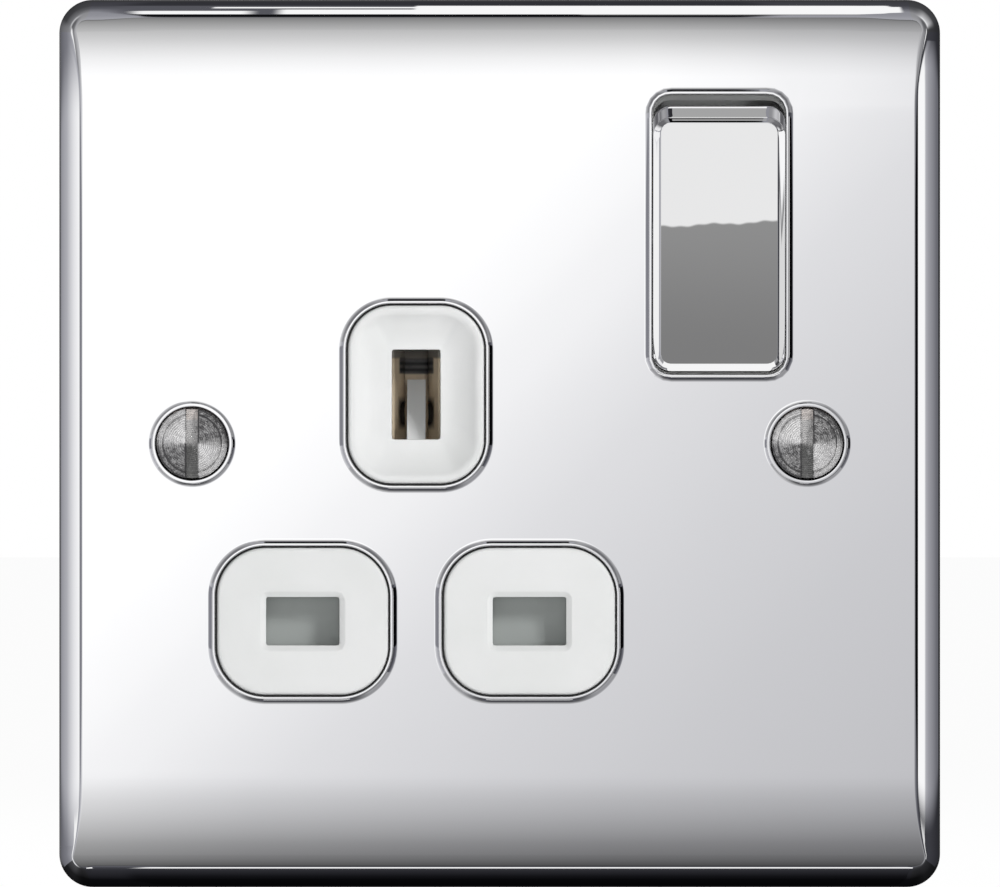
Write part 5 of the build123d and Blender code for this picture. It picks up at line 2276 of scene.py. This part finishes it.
    def _edge_card(self, name: str, edge: EdgeCard) -> None:
        """A long card beside, over or under the plate, whose greys the rolled edge mirrors.

        Its grey follows the angle at which the edge mirrors a line along the card. Past the ends
        of its span it has the greys of the surroundings. Strips and patches are laid over it.

        Args:
            name: Name of the card.
            edge: Its side and greys.
        """
        beside = edge.axis == 0
        out, half = edge.sign * (self.card_side + self.edge_at), self.edge_half
        foot = self.edge_foot if beside else -half
        far, back = -edge.length, self.edge_back
        flat = [(foot, far), (half, far), (half, back), (foot, back)]
        corners = [(out, y, along) if beside else (along, y, out) for along, y in flat]
        card, graph = self._sheet(name, corners)
        x, y, z = graph.split(graph.place())
        along = (z if beside else x) / (MM * (1.0 + self.card_side / self.distance))
        angle = graph.math("ARCTAN2", self.card_side, y * -1.0) * (HALF_TURN / math.pi)
        middle = graph.ramp(angle / HALF_TURN, self._stops(edge.middle, 0.0, HALF_TURN, self.edge_tint))
        ends = graph.ramp(angle / HALF_TURN, self._stops(edge.ends, 0.0, HALF_TURN, self.edge_tint))
        tone = graph.mix(graph.within(along, *edge.span), ends, middle)
        for start, stop, low, high, soft, level in edge.strips:
            share = graph.within(along, start, stop, soft) * graph.within(angle, low, high, self.strip_soft)
            tone = graph.mix(share, tone, opaque(grey(level)))
        self._glow(card, graph, tone)

    def _rocker_card(self) -> None:
        """A level card in front of the plate's middle, seen from the face edge on.

        The tilted rocker mirrors it: grey near the plate, then white past a slightly wavy line.
        Its near end is white for the bevel at the rocker's foot.
        """
        look = self.rocker
        near, far, z = look.near, look.far, look.height
        corners = [[look.left, near, z], [look.right, near, z], [look.far_right, far, z], [look.left, far, z]]
        card, graph = self._sheet("rocker_card", corners)
        x, y, _ = graph.split(graph.place())
        first, second = (graph.math("SINE", x * rate) * size for rate, size in look.ripples)
        ripple = first + second
        way = (y * -1.0) - x * look.line_slope + ripple - look.line
        line = graph.remap(way, -look.line_soft, look.line_soft)
        fade = graph.remap(y * -1.0, *look.fade)
        low = graph.mix(fade, opaque(grey(look.near_grey)), opaque(grey(look.far_grey)))
        tone = graph.mix(line, low, opaque(grey(look.past_grey)))
        self._glow(card, graph, graph.mix(graph.remap(y, *look.foot), tone, opaque(grey(look.foot_grey))))

    def _lamp(self, name: str, place: Triple, size: float, power: float) -> None:
        """A soft square lamp that faces the socket and stays out of the chrome.

        Args:
            name: Its name.
            place: Its place, in metres.
            size: Its side, in metres.
            power: Its power, in watts.
        """
        data = bpy.data.lights.new(name, "AREA")
        data.size = size
        data.energy = power
        lamp = add_object(name, data)
        way = -np.array(place)
        lamp.location = place
        flat = math.hypot(way[0], way[1])
        lamp.rotation_euler = (math.atan2(flat, -way[2]), 0.0, math.atan2(way[1], way[0]) - math.pi / 2)
        lamp.visible_glossy = False
        lamp.visible_camera = False


def main() -> None:
    """Loads the frame, builds and dresses the socket, and sets up the studio."""
    logging.basicConfig(level=logging.INFO, format="%(name)s: %(message)s")
    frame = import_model()
    dress(frame)
    plate = FrontPlate()
    settle(plate.build(), Body.HOUSING, Slot.CHROME, CHROME, "front_plate")
    settle(InsertMoulding().build(plate.windows()), Body.HOUSING, Slot.WHITE, WHITE, "front_moulding")
    settle(RockerCap().build(), Body.ROCKER, Slot.CHROME, ROCKER_CHROME, "rocker_cap")
    settle(FixingScrews().build(), Body.HOUSING, Slot.NICKEL, NICKEL, "fixing_screws")
    settle(EarthContact().build(), Body.HOUSING, Slot.BRONZE, CLIP_BRONZE, "earth_contact")
    rear = softened(frame["nodes"]["rear_moulding"], "rear_moulding_softened", 0.25)
    settle(rear, Body.HOUSING, Slot.WHITE, WHITE, "rear_moulding")
    for coil, body, node, joint in (
        (SHUTTER_SPRING, Body.HOUSING, "shutter_spring", "shutter_slide"),
        (PLUNGER_SPRING, Body.ROCKER, "plunger_spring", "plunger_slide"),
    ):
        spring = coil.build()
        settle(spring, body, Slot.SPRING, SPRING, node)
        coil.press(spring, joint)
    Studio().build()


if __name__ == "__main__":
    main()
